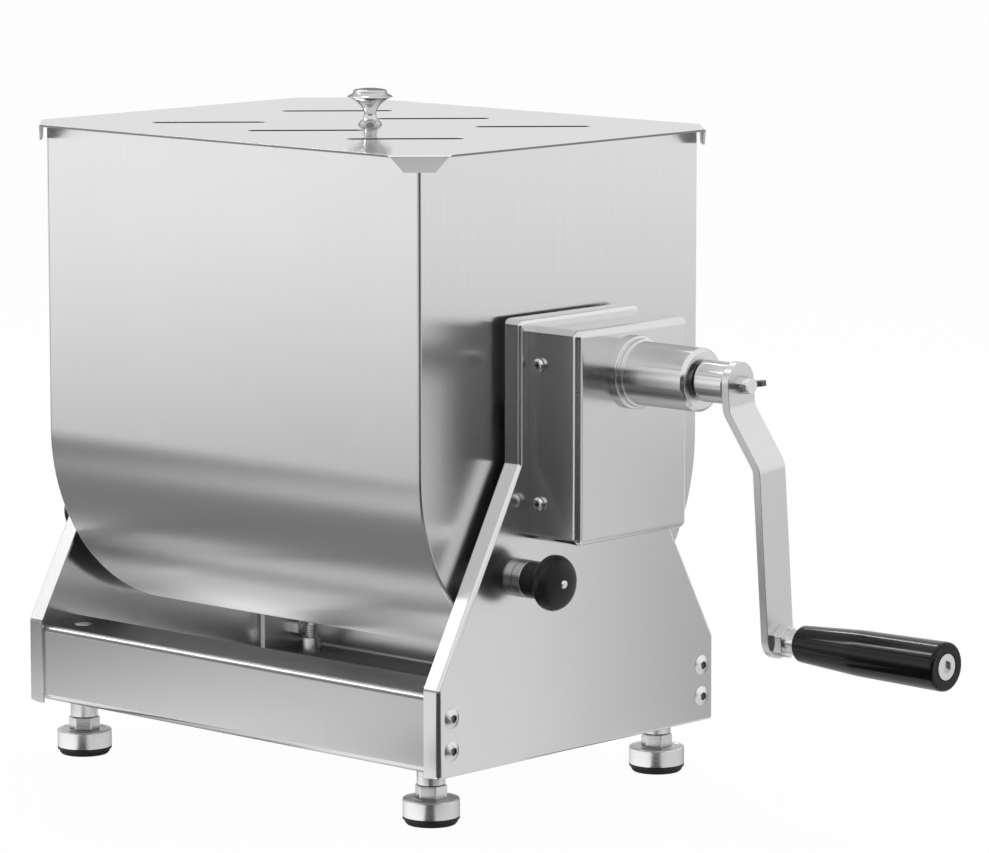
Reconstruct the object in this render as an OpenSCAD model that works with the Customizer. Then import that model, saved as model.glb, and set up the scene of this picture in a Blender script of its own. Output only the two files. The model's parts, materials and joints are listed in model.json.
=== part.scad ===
// Manual meat mixer: a U-bottomed tilting tank between two folded side frames, with a hand crank,
// a gearbox on the right side frame and mixing paddles on a shaft through the tank.
// X runs along the mixing axis towards the crank, -Y is the front, Z is up from the table.

/* [Tank] */
// Width over the two end plates
tank_w = 354; // [280:1:420]
// Depth from front wall to rear wall, twice the radius of the round bottom
tank_d = 276; // [230:1:320]
// Height of the rim above the mixing axis
tank_rise = 210; // [150:0.5:260]
// Thickness of the wrapped shell
shell_t = 1.5; // [1:0.1:3]
// Thickness of the end plates
end_t = 2; // [1.5:0.1:4]

/* [Lid] */
// Thickness of the lid sheet
lid_t = 1.5; // [1:0.1:3]
// How far the lid stands out past the tank all round
lid_overhang = 17; // [16:0.5:30]
// Length cut off each lid side at a corner
lid_cut = 28.5; // [12:0.5:30]
// Depth of the folded corner tabs below the lid
tab_h = 9.9; // [5:0.1:25]
// Length that each tab loses towards its lower edge, at each end
tab_draw = 10; // [2:0.5:12]
// Length of a lid slot
slot_len = 78; // [40:1:90]
// Width of a lid slot
slot_w = 10; // [5:0.5:16]
// Spacing of the slots along the tank
slot_pitch = 93; // [70:1:110]
// Distance of each row of slots from the middle of the lid
slot_row = 63; // [50:1:80]
// Diameter of the lid knob at its rim
knob_d = 31; // [24:0.5:40]
// Diameter of the lid knob's foot
knob_foot_d = 16; // [12:0.5:20]
// Diameter of the lid knob's neck
knob_neck_d = 8.3; // [7.5:0.1:11]
// Height of the lid knob
knob_h = 25; // [18:0.1:40]
// Diameter of the screw that holds the lid knob
knob_screw_d = 5; // [3:0.5:6]
// Length of that screw inside the knob
knob_screw_len = 12; // [6:0.5:15]

/* [Side frames] */
// Gap between the tank's end plate and the edge of the side frame's flange
side_gap = 6; // [5.5:0.5:12]
// Width of the flange round the side frame
flange_w = 14; // [12:0.5:25]
// Thickness of the side frame's sheet
sheet_t = 2; // [1.5:0.1:3]
// Depth of the side frame at its foot
frame_d = 276; // [240:1:330]
// How far the side frame reaches below the beams
frame_skirt = 1.9; // [0:0.1:10]
// Height of the upright foot of the side frame
knee_rise = 58.6; // [57:0.1:75]
// Height above the mixing axis at which the side frame's neck begins
neck_rise = 3.2; // [-20:0.1:30]
// How far the mixing axis lies behind the middle of the side frames
axis_back = 4; // [0:0.1:8]
// How far the neck stands out past the rear side of the gearbox
neck_margin = 0.5; // [0.5:0.1:15]
// How far the side frame stands up past the gearbox
top_margin = 4.3; // [2:0.1:20]

/* [Beams] */
// Height of the beams
beam_h = 53; // [48:0.5:55]
// Depth of the beams' flanges
beam_depth = 45; // [40:0.5:60]
// Thickness of the beams' sheet
beam_t = 2; // [1.5:0.1:3]
// Gap that is left over the front beam when the tank is tilted down to it
tilt_clear = 3; // [1:0.1:15]
// Diameter of the hole over each foot in the upper flange
plug_hole_d = 13; // [12:0.5:18]
// Diameter of the beam screws
beam_screw_d = 8; // [5:0.5:8]
// Distance of the beam screws from the side frame's front or rear edge
beam_screw_inset = 12.4; // [11.5:0.1:20]
// Spacing of the two beam screws at one end
beam_screw_pitch = 21.7; // [17:0.1:25]

/* [Feet] */
// Thickness of the rubber pad
pad_t = 5; // [3:0.1:8]
// Diameter of the foot's cup
cup_d = 38; // [32:0.5:50]
// Height of the foot's cup
cup_h = 12.5; // [9:0.1:16]
// Width across the flats of the foot's hexagon
foot_hex_af = 19; // [16:0.5:24]
// Height of the foot's hexagon
foot_hex_h = 8.7; // [5:0.1:15]
// Diameter of the foot's stud
stud_d = 10; // [8:0.5:10]
// Length of the stud above its hexagon
stud_len = 37; // [34:0.5:45]
// Wall of the foot bush below the beam
bush_collar_wall = 4.5; // [3:0.1:6]
// Length of the foot bush below the beam
bush_drop = 12; // [6:0.5:16]
// Wall of the foot bush inside the beam
bush_neck_wall = 2; // [1.5:0.1:4]
// Length of the foot bush above the beam's lower flange
bush_neck_h = 10.5; // [4:0.5:14]
// Distance of the feet from the side frame's outer face
foot_inset = 30; // [24:0.5:60]

/* [Gears] */
// Module of the gear teeth
gear_module = 2.5; // [2:0.25:3]
// Teeth on the crank's pinion
pinion_teeth = 17; // [17:1:22]
// Teeth on the paddle shaft's gear
gear_teeth = 33; // [30:1:40]
// Pressure angle of the teeth
pressure_angle = 20; // [18:1:25]
// Face width of both gears
face_w = 14; // [8:0.5:20]
// Play between the teeth at the pitch circle
backlash = 0.3; // [0.2:0.05:0.6]

/* [Gearbox] */
// Thickness of the gearbox cover
cover_t = 2; // [1.5:0.1:3]
// Radius of the cover's outer edges
cover_r = 5; // [3.5:0.5:8]
// Room beside the driven gear
gear_room = 9.25; // [8:0.25:20]
// Room below the driven gear
gear_floor = 2.15; // [1:0.05:15]
// Room above the pinion
pinion_room = 6.25; // [2:0.25:20]
// Distance of the gears from the side frame
gear_stand = 9; // [8.6:0.1:15]
// Room in front of the gears
shaft_room = 18.5; // [8:0.5:30]
// Thickness of the gearbox plate
plate_t = 4; // [3:0.5:6]
// Distance of the cover screws from the side frame
cover_screw_x = 10.2; // [9:0.1:12]
// Spacing of the cover screws along the cover
cover_screw_pitch = 92; // [80:1:110]
// Diameter of the cover screws
cover_screw_d = 5; // [3:0.5:6]

/* [Crank] */
// Diameter of the crank shaft
crank_shaft_d = 16; // [14:0.5:20]
// Wall of the plain bushes round the crank shaft
crank_bush_wall = 3; // [2:0.5:4]
// Length of each plain bush in the boss
crank_bush_len = 20; // [10:1:28]
// Wall of the boss round its bushes
boss_wall = 10; // [6:0.5:12]
// How far the boss runs out from the gearbox cover
boss_len = 59.5; // [45:0.5:90]
// How far the boss's flange stands out past the boss
boss_lip = 3.3; // [2.5:0.1:5]
// Thickness of the boss's flange
boss_flange_t = 4.5; // [2:0.1:8]
// How far the boss's second ring stands out past the boss
boss_step = 1.5; // [0.5:0.1:2.4]
// Thickness of the second ring
boss_step_t = 3.7; // [2:0.1:6]
// Gap between the boss and the crank's socket
socket_gap = 3.3; // [1:0.1:6]
// Wall of the crank's socket
socket_wall = 5.75; // [4:0.25:8]
// Length of the crank's socket
socket_len = 23; // [18:0.5:35]
// Width of the crank arm
arm_w = 26; // [24:0.5:32]
// Thickness of the crank arm
arm_t = 6; // [4:0.5:8]
// How far the arm runs up past the crank axis
arm_top = 15; // [13:0.5:20]
// How far the arm runs down past the grip's axis
arm_tail = 12; // [12:0.5:20]
// Distance from the crank axis to the grip's axis
crank_r = 167.5; // [130:0.5:200]
// Sideways offset of the arm's lower part
arm_offset = 23; // [10:0.5:35]
// Distance of the upper bend below the crank axis
bend_upper = 16; // [15:0.5:30]
// Distance of the lower bend below the crank axis
bend_lower = 52; // [48:0.5:80]
// Radius of both bends
bend_r = 12; // [8:0.5:16]
// Angle at which the crank stands off from hanging straight down
crank_rest = 4.9; // [0:0.1:30]
// Diameter of the wing screw
wing_screw_d = 8; // [5:0.5:8]
// Length of the wing screw in the shaft
wing_screw_len = 14; // [8:0.5:15]

/* [Grip] */
// Diameter of the grip's spindle
spindle_d = 12; // [8:0.5:12]
// Width across the flats of the spindle's nut
nut_af = 19; // [16:0.5:22]
// Height of the spindle's nut
nut_h = 8; // [5:0.5:12]
// Length of the collar between the nut and the grip
collar_len = 9.6; // [2:0.1:15]
// Length of the grip
grip_len = 118; // [90:1:140]
// Diameter of the grip at its inner end
grip_d_in = 24; // [20:0.5:30]
// Diameter of the grip at the end of its taper
grip_d_mid = 30; // [24:0.5:36]
// Diameter of the grip at its outer end
grip_d_out = 32; // [26:0.5:40]
// Diameter of the spindle's head
spindle_head_d = 17; // [15:0.5:20]
// Thickness of the spindle's head
spindle_head_t = 4; // [3:0.5:6]

/* [Lock plungers] */
// Distance of the plungers in front of the mixing axis
plunger_fwd = 60.4; // [50:0.1:75]
// Distance of the plungers below the mixing axis
plunger_drop = 72.5; // [60:0.1:85]
// Diameter of the plunger's pin
pin_d = 8; // [6:0.5:10]
// Room for the spring round the pin
spring_room = 2.4; // [2.2:0.1:3]
// Wall of the plunger's sleeve
sleeve_wall = 1.6; // [1.2:0.1:3]
// How far the plunger's ring stands out past its sleeve
ring_lip = 4.5; // [3.5:0.1:6]
// Thickness of the plunger's ring
ring_t = 7.3; // [5:0.1:12]
// Diameter of the plunger knob's skirt
skirt_d = 25; // [20:0.5:30]
// Diameter of the plunger knob's head
head_d = 37; // [32:0.5:50]
// Length of the plunger knob
head_len = 28.4; // [24:0.1:36]
// Wire of the plunger's spring
spring_wire = 1; // [0.8:0.1:1.2]
// Turns of the plunger's spring
spring_turns = 5; // [3:0.5:6]
// Thickness of the lock boss on the tank's end plate
lock_boss_t = 5; // [3:0.1:5]
// Wall of the lock boss
lock_boss_wall = 6.5; // [4:0.5:10]

/* [Paddles] */
// Diameter of the paddle shaft
shaft_d = 22; // [18:0.5:26]
// Number of mixing paddles
paddle_count = 4; // [2:1:4]
// Gap between the outer paddles and the tank's end plates
paddle_end_gap = 28; // [10:1:40]
// Wall of a paddle's hub
hub_wall = 8; // [5:0.5:10]
// Length of a paddle's hub
hub_len = 30; // [20:1:40]
// Diameter of a paddle's rod
rod_d = 12; // [8:0.5:16]
// Width of a paddle's blade
blade_w = 64; // [40:1:66]
// Height of a paddle's blade along its rod
blade_h = 38; // [24:1:50]
// Thickness of a paddle's blade
blade_t = 4; // [3:0.5:6]
// Angle that a blade is turned out of the shaft's line
blade_tilt = 35; // [20:1:40]
// Gap between the blades and the tank's round wall
blade_gap = 7; // [3:0.5:15]

/* [Pivots] */
// Wall of the shaft seals
seal_wall = 3; // [2:0.5:5]
// Length of a shaft seal
seal_len = 20; // [12:1:22]
// Wall of the tank's trunnions
trunnion_wall = 6; // [4:0.5:9]
// How far a trunnion's flange stands out past the trunnion
trunnion_lip = 13; // [6:0.5:20]
// Thickness of a trunnion's flange
trunnion_flange_t = 4; // [3:0.5:5]
// Wall of the pivot bushes
pivot_wall = 4; // [3:0.5:6]
// How far a pivot bush's flange stands out past the bush
pivot_lip = 10; // [9:0.5:14]
// Thickness of a pivot bush's flange
pivot_flange_t = 4; // [3:0.5:6]
// Depth of the left bearing cap
cap_depth = 11; // [9:0.5:16]

/* [Fits] */
// Gap round a shaft or pin that turns or slides
run_gap = 0.05; // [0.02:0.01:0.1]
// Gap between faces of pieces that move past each other
face_gap = 0.4; // [0.3:0.05:0.8]

/* [Hidden] */
$fn = 64;
// Overshoot of a cut past the face that it opens
over = 1;

// Side frames and table height
flange_x = tank_w / 2 + side_gap;
frame_x = flange_x + flange_w;
sheet_in = frame_x - sheet_t;
beam_bottom = pad_t + cup_h + foot_hex_h + face_gap + bush_drop;
beam_top = beam_bottom + beam_h;
tank_r = tank_d / 2;
axis_h = beam_top + tilt_clear + tank_r;
tank_top = axis_h + tank_rise;
frame_base = beam_bottom - frame_skirt;
knee_z = frame_base + knee_rise;
neck_z = axis_h + neck_rise;

// Gears
gear_r = gear_module * gear_teeth / 2;
pinion_r = gear_module * pinion_teeth / 2;
gear_tip = gear_r + gear_module;
pinion_tip = pinion_r + gear_module;
crank_z = axis_h + gear_r + pinion_r;
gear_x = frame_x + gear_stand;
flank_steps = 5;
root_depth = 1.25;

// Gearbox
cover_half = gear_tip + gear_room + cover_t;
cover_bottom = axis_h - gear_tip - gear_floor - cover_t;
cover_top = crank_z + pinion_tip + pinion_room + cover_t;
cover_in = gear_x + face_w + shaft_room;
cover_x = cover_in + cover_t;
cover_mid = (cover_bottom + cover_top) / 2;
neck_half = cover_half + axis_back + neck_margin;
frame_top = cover_top + top_margin;
plate_gap = 1;
lug_t = 7;
lug_w = 14;
lug_x = cover_screw_x + cover_screw_d / 2 + 2;
cover_head_d = cover_screw_d * 2;
cover_head_h = cover_screw_d * 0.7;
cover_bite = 6;

// Beams, screws and feet
beam_y = frame_d / 2 - sheet_t;
beam_mid = (beam_bottom + beam_top) / 2;
beam_screw_y = frame_d / 2 - beam_screw_inset;
beam_head_d = beam_screw_d * 1.75;
beam_head_h = beam_screw_d * 0.3;
beam_key_af = beam_screw_d * 0.625;
beam_nut_af = beam_screw_d * 1.625;
beam_nut_h = beam_screw_d * 0.8;
dome_steps = 6;
foot_x = frame_x - foot_inset;
foot_y = beam_y - beam_depth / 2;
bush_bore = stud_d + 2 * run_gap;
bush_neck_d = bush_bore + 2 * bush_neck_wall;
bush_collar_d = bush_bore + 2 * bush_collar_wall;
foot_hex_z = pad_t + cup_h;
stud_z = foot_hex_z + foot_hex_h;
pad_lip = 1.4;
cup_shoulder = 1.4;

// Pivots and paddle shaft
seal_d = shaft_d + 2 * seal_wall;
trunnion_d = seal_d + 2 * trunnion_wall;
trunnion_flange_d = trunnion_d + 2 * trunnion_lip;
pivot_bore = trunnion_d + 2 * run_gap;
pivot_d = pivot_bore + 2 * pivot_wall;
pivot_flange_d = pivot_d + 2 * pivot_lip;
pivot_end = frame_x + plate_t;
trunnion_end = pivot_end + 1.5;
seal_x = tank_w / 2 + 1;
shaft_left = -(trunnion_end - 3);
shoulder_x = trunnion_end + face_gap;
shoulder_d = shaft_d + 5;
ring_x = gear_x + face_w;
gear_ring_t = 1.2;
gear_ring_d = shaft_d + 7;
groove_d = shaft_d - 1.5;
shaft_right = ring_x + gear_ring_t + 3;
key_w = 6;
key_h = 6;
key_seat = 3.5;
cap_d = pivot_flange_d;
cap_recess_d = pivot_d + 2;
cap_recess = trunnion_end + 1 - frame_x;
cap_screw_d = 4;
cap_screw_count = 3;
cap_screw_r = (cap_d + cap_recess_d) / 4;
cap_screw_head_h = 2.4;

// Paddles
tank_in = tank_r - shell_t;
hub_d = shaft_d + 2 * hub_wall;
blade_span = blade_w * cos(blade_tilt) + blade_t * sin(blade_tilt);
blade_rise = (blade_w * sin(blade_tilt) + blade_t * cos(blade_tilt)) / 2;
blade_reach = sqrt(pow(tank_in - blade_gap, 2) - pow(blade_rise, 2));
paddle_room = tank_w - 2 * end_t - 2 * paddle_end_gap - blade_span;
paddle_pitch = paddle_room / (paddle_count - 1);
rod_bite = 12;

// Crank
crank_bush_d = crank_shaft_d + 2 * crank_bush_wall;
plate_boss_d = crank_bush_d + 8;
plate_boss_x = gear_x - 1;
boss_d = crank_bush_d + 2 * boss_wall;
boss_end = cover_x + boss_len;
boss_chamfer = 2;
crank_shaft_in = frame_x + 1.5;
socket_x = boss_end + socket_gap;
socket_d = crank_shaft_d + 2 * socket_wall;
arm_x = socket_x + socket_len;
crank_shaft_out = arm_x - 0.5;
pinion_hub_d = pinion_r * 1.3;
pinion_pin_d = 4;
pinion_pin_x = gear_x + face_w + 5;
crank_key_w = 5;
crank_key_len = socket_len - 6;
crank_key_seat = 2.5;
wing_hub_d = wing_screw_d * 1.5;
wing_hub_h = 9;
wing_t = 3.6;
wing_out = 11;
wing_span = 12;
arm_out = arm_x + arm_offset + arm_t;
bend_angle = atan2(arm_offset, bend_lower - bend_upper);
bend_run = bend_r * tan(bend_angle / 2);
bend_steps = 6;

// Grip
grip_x = arm_out + nut_h + collar_len + face_gap;
grip_end = grip_x + grip_len;
grip_recess = spindle_head_t + face_gap;
grip_recess_d = spindle_head_d + 1;
collar_d = spindle_d + 3;
grip_knee = grip_len * 0.41;
grip_edge = 1.5;

// Lock plungers
plunger_z = axis_h - plunger_drop;
chamber_d = pin_d + 2 * spring_room;
sleeve_d = chamber_d + 2 * sleeve_wall;
ring_d = sleeve_d + 2 * ring_lip;
lock_face = tank_w / 2 + lock_boss_t;
nose_x = lock_face + face_gap;
sleeve_in = flange_x + 1;
guide_t = 2;
ring_out = frame_x + ring_t;
pin_collar_x = sleeve_in + guide_t + face_gap;
pin_collar_t = 2;
spring_x = pin_collar_x + pin_collar_t;
spring_len = ring_out - guide_t - spring_x;
spring_d = pin_d + spring_room;
knob_x = ring_out + face_gap;
pin_end = knob_x + head_len * 0.7;
rivet_d = 3;
rivet_head_d = 6;
rivet_head_h = 1.2;
plunger_nut_af = sleeve_d + 6;
plunger_nut_t = 4;
lock_hole_d = pin_d + 1;
lock_boss_d = lock_hole_d + 2 * lock_boss_wall;

// Lid
lid_half_w = tank_w / 2 + lid_overhang;
lid_half_d = tank_r + lid_overhang;
lid_top = tank_top + lid_t;
knob_screw_head_d = knob_screw_d * 1.8;
knob_screw_head_h = knob_screw_d * 0.6;

// Helpers

module steel() { color("gainsboro") children(); }
module polished() { color("whitesmoke") children(); }
module black() { color("black") children(); }
module bronze() { color("goldenrod") children(); }

// Round bar along X from x0 to x1
module x_bar(d, x0, x1) {
  translate([x0, 0, 0]) rotate([0, 90, 0]) cylinder(d = d, h = x1 - x0);
}

// Tube along X from x0 to x1
module x_tube(d, bore, x0, x1) {
  difference() {
    x_bar(d, x0, x1);
    x_bar(bore, x0 - over, x1 + over);
  }
}

// Hexagonal bar along X
module x_hex(af, x0, x1) {
  translate([x0, 0, 0]) rotate([0, 90, 0]) cylinder(d = af / cos(30), h = x1 - x0, $fn = 6);
}

// Flat outline in Y and Z, made into a plate from x0 to x1
module x_plate(x0, x1) {
  translate([x0, 0, 0]) rotate([90, 0, 90]) linear_extrude(x1 - x0) children();
}

// Turned profile, drawn as radius against length, set along X from x0
module x_turned(x0, profile) {
  translate([x0, 0, 0]) rotate([0, 90, 0]) rotate_extrude() polygon(profile);
}

// Box from its lowest corner to its highest corner
module box(low, high) {
  translate(low) cube(high - low);
}

module sided(side) { mirror([side < 0 ? 1 : 0, 0, 0]) children(); }
module ended(end) { mirror([0, end > 0 ? 1 : 0, 0]) children(); }
module at_middle() { translate([0, axis_back, 0]) children(); }
module at_axis() { translate([0, axis_back, axis_h]) children(); }
module at_crank() { translate([0, axis_back, crank_z]) children(); }
module crank_pose() { at_crank() rotate([crank_rest, 0, 0]) children(); }
module at_grip() { crank_pose() translate([0, 0, -crank_r]) children(); }
module at_plunger(side) { sided(side) translate([0, axis_back - plunger_fwd, plunger_z]) children(); }

module at_beam_screws() {
  for (y = [-beam_screw_y, beam_screw_y], dz = [-0.5, 0.5])
    translate([0, y, beam_mid + dz * beam_screw_pitch]) children();
}

module at_feet() {
  for (x = [-foot_x, foot_x], y = [-foot_y, foot_y]) translate([x, y, 0]) children();
}

module at_cover_screws() {
  at_middle() for (end = [-1, 1], dz = [-0.5, 0.5])
    ended(end) translate([frame_x + cover_screw_x, 0, cover_mid + dz * cover_screw_pitch]) children();
}

// Side frames

// Side frame's outline, taken in by t from its edges, with its lower edge at base
function knee_shift(t) =
  let (dy = frame_d / 2 - neck_half, dz = neck_z - knee_z)
  t * (dz - norm([dy, dz])) / dy;
function frame_side(t, base) = [
  [frame_d / 2 - t, base],
  [frame_d / 2 - t, knee_z + knee_shift(t)],
  [neck_half - t, neck_z + knee_shift(t)],
  [neck_half - t, frame_top - t]
];
function frame_outline(t, base) =
  let (half = frame_side(t, base))
  concat(half, [for (i = [3:-1:0]) [-half[i][0], half[i][1]]]);

module side_frame(side) {
  sided(side) difference() {
    x_plate(flange_x, frame_x) polygon(frame_outline(0, frame_base));
    x_plate(flange_x - over, sheet_in) polygon(frame_outline(sheet_t, frame_base - over));
    at_axis() x_bar(pivot_d + 2 * run_gap, sheet_in - over, frame_x + over);
    at_beam_screws() x_bar(beam_screw_d + 2 * run_gap, sheet_in - over, frame_x + over);
    at_plunger(1) x_bar(sleeve_d + 2 * run_gap, sheet_in - over, frame_x + over);
  }
}

module right_side_frame() { steel() side_frame(1); }

module left_side_frame() {
  steel() difference() {
    side_frame(-1);
    sided(-1) at_cap_screws() x_bar(cap_screw_d + 2 * run_gap, sheet_in - over, frame_x + over);
  }
}

// Beams

module beam() {
  difference() {
    box([-sheet_in, -beam_y, beam_bottom], [sheet_in, beam_depth - beam_y, beam_top]);
    box([-sheet_in + beam_t, beam_t - beam_y, beam_bottom + beam_t],
        [sheet_in - beam_t, beam_depth - beam_y + over, beam_top - beam_t]);
    at_beam_screws() x_bar(beam_screw_d + 2 * run_gap, -sheet_in - over, sheet_in + over);
    at_feet() translate([0, 0, beam_bottom - over])
      cylinder(d = bush_neck_d + 2 * run_gap, h = beam_t + 2 * over);
    at_feet() translate([0, 0, beam_top - beam_t - over])
      cylinder(d = plug_hole_d, h = beam_t + 2 * over);
  }
}

module front_beam() { steel() beam(); }
module rear_beam() { steel() ended(1) beam(); }

// Turned dome, as radius against length, of diameter d and height h
function dome(d, h) =
  let (r = (d * d / 4 + h * h) / (2 * h), span = asin(d / 2 / r), low = h - r)
  concat([[0, 0]], [for (i = [0:dome_steps])
    let (a = span * (1 - i / dome_steps)) [r * sin(a), low + r * cos(a)]]);

module button_screw() {
  nut_face = sheet_in - beam_t - beam_nut_h;
  difference() {
    union() {
      x_bar(beam_screw_d, nut_face - over, frame_x + over);
      x_turned(frame_x, dome(beam_head_d, beam_head_h));
    }
    x_hex(beam_key_af, frame_x + beam_head_h * 0.35, frame_x + beam_head_h + over);
  }
}

module beam_screws() {
  polished() for (side = [-1, 1]) sided(side) at_beam_screws() button_screw();
}

module beam_nuts() {
  nut_end = sheet_in - beam_t;
  steel() for (side = [-1, 1]) sided(side) at_beam_screws() difference() {
    x_hex(beam_nut_af, nut_end - beam_nut_h, nut_end);
    x_bar(beam_screw_d + 2 * run_gap, nut_end - beam_nut_h - over, nut_end + over);
  }
}

module foot_bushes() {
  steel() at_feet() translate([0, 0, beam_bottom]) difference() {
    union() {
      translate([0, 0, -bush_drop]) cylinder(d = bush_collar_d, h = bush_drop);
      cylinder(d = bush_neck_d, h = beam_t + bush_neck_h);
    }
    translate([0, 0, -bush_drop - over])
      cylinder(d = bush_bore, h = bush_drop + beam_t + bush_neck_h + 2 * over);
  }
}

// Gearbox

// Block from x0 to x1 with its four edges along X and its outer face's edges rounded
module rounded_block(x0, x1, half, z0, z1, r) {
  box([x0, -half, z0 + r], [x1 - r, half, z1 - r]);
  box([x0, r - half, z0], [x1 - r, half - r, z1]);
  box([x1 - r - over, r - half, z0 + r], [x1, half - r, z1 - r]);
  for (y = [r - half, half - r]) {
    for (z = [z0 + r, z1 - r]) translate([0, y, z]) {
      x_bar(2 * r, x0, x1 - r);
      translate([x1 - r, 0, 0]) sphere(r);
    }
    translate([x1 - r, y, z0 + r]) cylinder(r = r, h = z1 - z0 - 2 * r);
  }
  for (z = [z0 + r, z1 - r])
    translate([x1 - r, half - r, z]) rotate([90, 0, 0]) cylinder(r = r, h = 2 * (half - r));
}

module gearbox_cover() {
  steel() difference() {
    at_middle() rounded_block(frame_x, cover_x, cover_half, cover_bottom, cover_top, cover_r);
    at_middle() rounded_block(frame_x - over, cover_in, cover_half - cover_t, cover_bottom + cover_t,
                              cover_top - cover_t, cover_r - cover_t);
    at_crank() x_bar(crank_bush_d + 2 * run_gap, cover_in - over, cover_x + over);
    at_cover_screws() translate([0, -cover_half + cover_t + over, 0]) rotate([90, 0, 0])
      cylinder(d = cover_screw_d + 2 * run_gap, h = cover_t + 2 * over);
  }
}

module cover_screw() {
  slot = cover_screw_d * 0.2;
  r = cover_head_d / 2;
  translate([0, -cover_half, 0]) rotate([90, 0, 0]) difference() {
    union() {
      rotate_extrude() polygon([[0, 0], [r, 0], [r, 0.4 * cover_head_h], [0.92 * r, 0.7 * cover_head_h],
                                [0.68 * r, 0.92 * cover_head_h], [0.4 * r, cover_head_h],
                                [0, cover_head_h]]);
      translate([0, 0, -cover_t - cover_bite]) cylinder(d = cover_screw_d, h = cover_t + cover_bite + over);
    }
    for (a = [0, 90]) rotate([0, 0, a])
      box([-slot * 2, -slot / 2, cover_head_h / 3], [slot * 2, slot / 2, cover_head_h + over]);
  }
}

module gearbox_screws() { polished() at_cover_screws() cover_screw(); }

module gearbox_plate() {
  inner_half = cover_half - cover_t - plate_gap;
  steel() difference() {
    union() {
      at_middle() box([frame_x, -inner_half, cover_bottom + cover_t + plate_gap],
                      [frame_x + plate_t, inner_half, cover_top - cover_t - plate_gap]);
      at_crank() x_bar(plate_boss_d, frame_x, plate_boss_x);
      at_cover_screws() box([-cover_screw_x, -cover_half + cover_t, -lug_w / 2],
                            [lug_x - cover_screw_x, -cover_half + cover_t + lug_t, lug_w / 2]);
    }
    at_axis() x_bar(pivot_d + 2 * run_gap, frame_x - over, frame_x + plate_t + over);
    at_crank() x_bar(crank_bush_d + 2 * run_gap, crank_shaft_in - over, plate_boss_x + over);
    at_cover_screws() translate([0, -cover_half + lug_t + cover_t + over, 0]) rotate([90, 0, 0])
      cylinder(d = cover_screw_d + 2 * run_gap, h = lug_t + 2 * over);
  }
}

module crank_boss() {
  steel() at_crank() difference() {
    union() {
      x_bar(boss_d + 2 * boss_lip, cover_x, cover_x + boss_flange_t);
      x_bar(boss_d + 2 * boss_step, cover_x, cover_x + boss_flange_t + boss_step_t);
      x_turned(cover_x, [[0, 0], [boss_d / 2, 0], [boss_d / 2, boss_len - boss_chamfer],
                         [boss_d / 2 - boss_chamfer, boss_len], [0, boss_len]]);
    }
    x_bar(crank_bush_d + 2 * run_gap, cover_x - over, boss_end + over);
  }
}

// Two plain bushes in the boss and a short one in the gearbox plate
module crank_bushes() {
  bore = crank_shaft_d + 2 * run_gap;
  bronze() at_crank() {
    x_tube(crank_bush_d, bore, crank_shaft_in - over + run_gap, plate_boss_x);
    x_tube(crank_bush_d, bore, cover_in, cover_in + crank_bush_len);
    x_tube(crank_bush_d, bore, boss_end - crank_bush_len, boss_end);
  }
}

// Pivots

module pivot_bush(side) {
  sided(side) at_axis() difference() {
    union() {
      x_bar(pivot_d, sheet_in, pivot_end);
      x_bar(pivot_flange_d, sheet_in - pivot_flange_t, sheet_in);
    }
    x_bar(pivot_bore, sheet_in - pivot_flange_t - over, pivot_end + over);
  }
}

module right_pivot_bush() { bronze() pivot_bush(1); }

module left_pivot_bush() {
  bronze() difference() {
    pivot_bush(-1);
    sided(-1) at_cap_screws()
      x_bar(cap_screw_d + 2 * run_gap, sheet_in - pivot_flange_t - over, sheet_in + over);
  }
}

module at_cap_screws() {
  at_axis() for (i = [0:cap_screw_count - 1])
    rotate([i * 360 / cap_screw_count, 0, 0]) translate([0, 0, cap_screw_r]) children();
}

module left_bearing_cap() {
  steel() sided(-1) difference() {
    at_axis() x_turned(frame_x, [[0, 0], [cap_d / 2, 0], [cap_d / 2, cap_depth - 2],
                                 [cap_d / 2 - 2, cap_depth], [0, cap_depth]]);
    at_axis() x_bar(cap_recess_d, frame_x - over, frame_x + cap_recess);
    at_cap_screws() x_bar(cap_screw_d + 2 * run_gap, frame_x - over, frame_x + cap_depth + over);
  }
}

module left_cap_screws() {
  head_x = frame_x + cap_depth;
  polished() sided(-1) at_cap_screws() {
    x_bar(cap_screw_d, sheet_in - pivot_flange_t - over, head_x + over);
    x_tube(cap_screw_d * 1.6, cap_screw_d * 0.5, head_x, head_x + cap_screw_head_h);
  }
}

// Tank

module u_outline(r, rise) {
  circle(r);
  translate([-r, 0]) square([2 * r, rise]);
}

module tank_shell() {
  x_in = tank_w / 2 - end_t;
  steel() at_axis() difference() {
    x_plate(-x_in, x_in) u_outline(tank_r, tank_rise);
    x_plate(-x_in - over, x_in + over) u_outline(tank_in, tank_rise + over);
  }
}

module tank_end(side) {
  steel() sided(side) at_axis() difference() {
    x_plate(tank_w / 2 - end_t, tank_w / 2) u_outline(tank_r, tank_rise);
    x_bar(seal_d, tank_w / 2 - end_t - over, tank_w / 2 + over);
  }
}

module tank_right_end() { tank_end(1); }
module tank_left_end() { tank_end(-1); }

module trunnion(side) {
  steel() sided(side) at_axis() difference() {
    union() {
      x_bar(trunnion_d, tank_w / 2, trunnion_end);
      x_bar(trunnion_flange_d, tank_w / 2, tank_w / 2 + trunnion_flange_t);
    }
    x_bar(seal_d, tank_w / 2 - over, trunnion_end + over);
  }
}

module right_trunnion() { trunnion(1); }
module left_trunnion() { trunnion(-1); }

module lock_bosses() {
  steel() for (side = [-1, 1]) at_plunger(side) x_tube(lock_boss_d, lock_hole_d, tank_w / 2, lock_face);
}

module shaft_seals() {
  color("ivory") for (side = [-1, 1]) sided(side) at_axis()
    x_tube(seal_d, shaft_d + 2 * run_gap, seal_x, seal_x + seal_len);
}

// Lid

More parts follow.
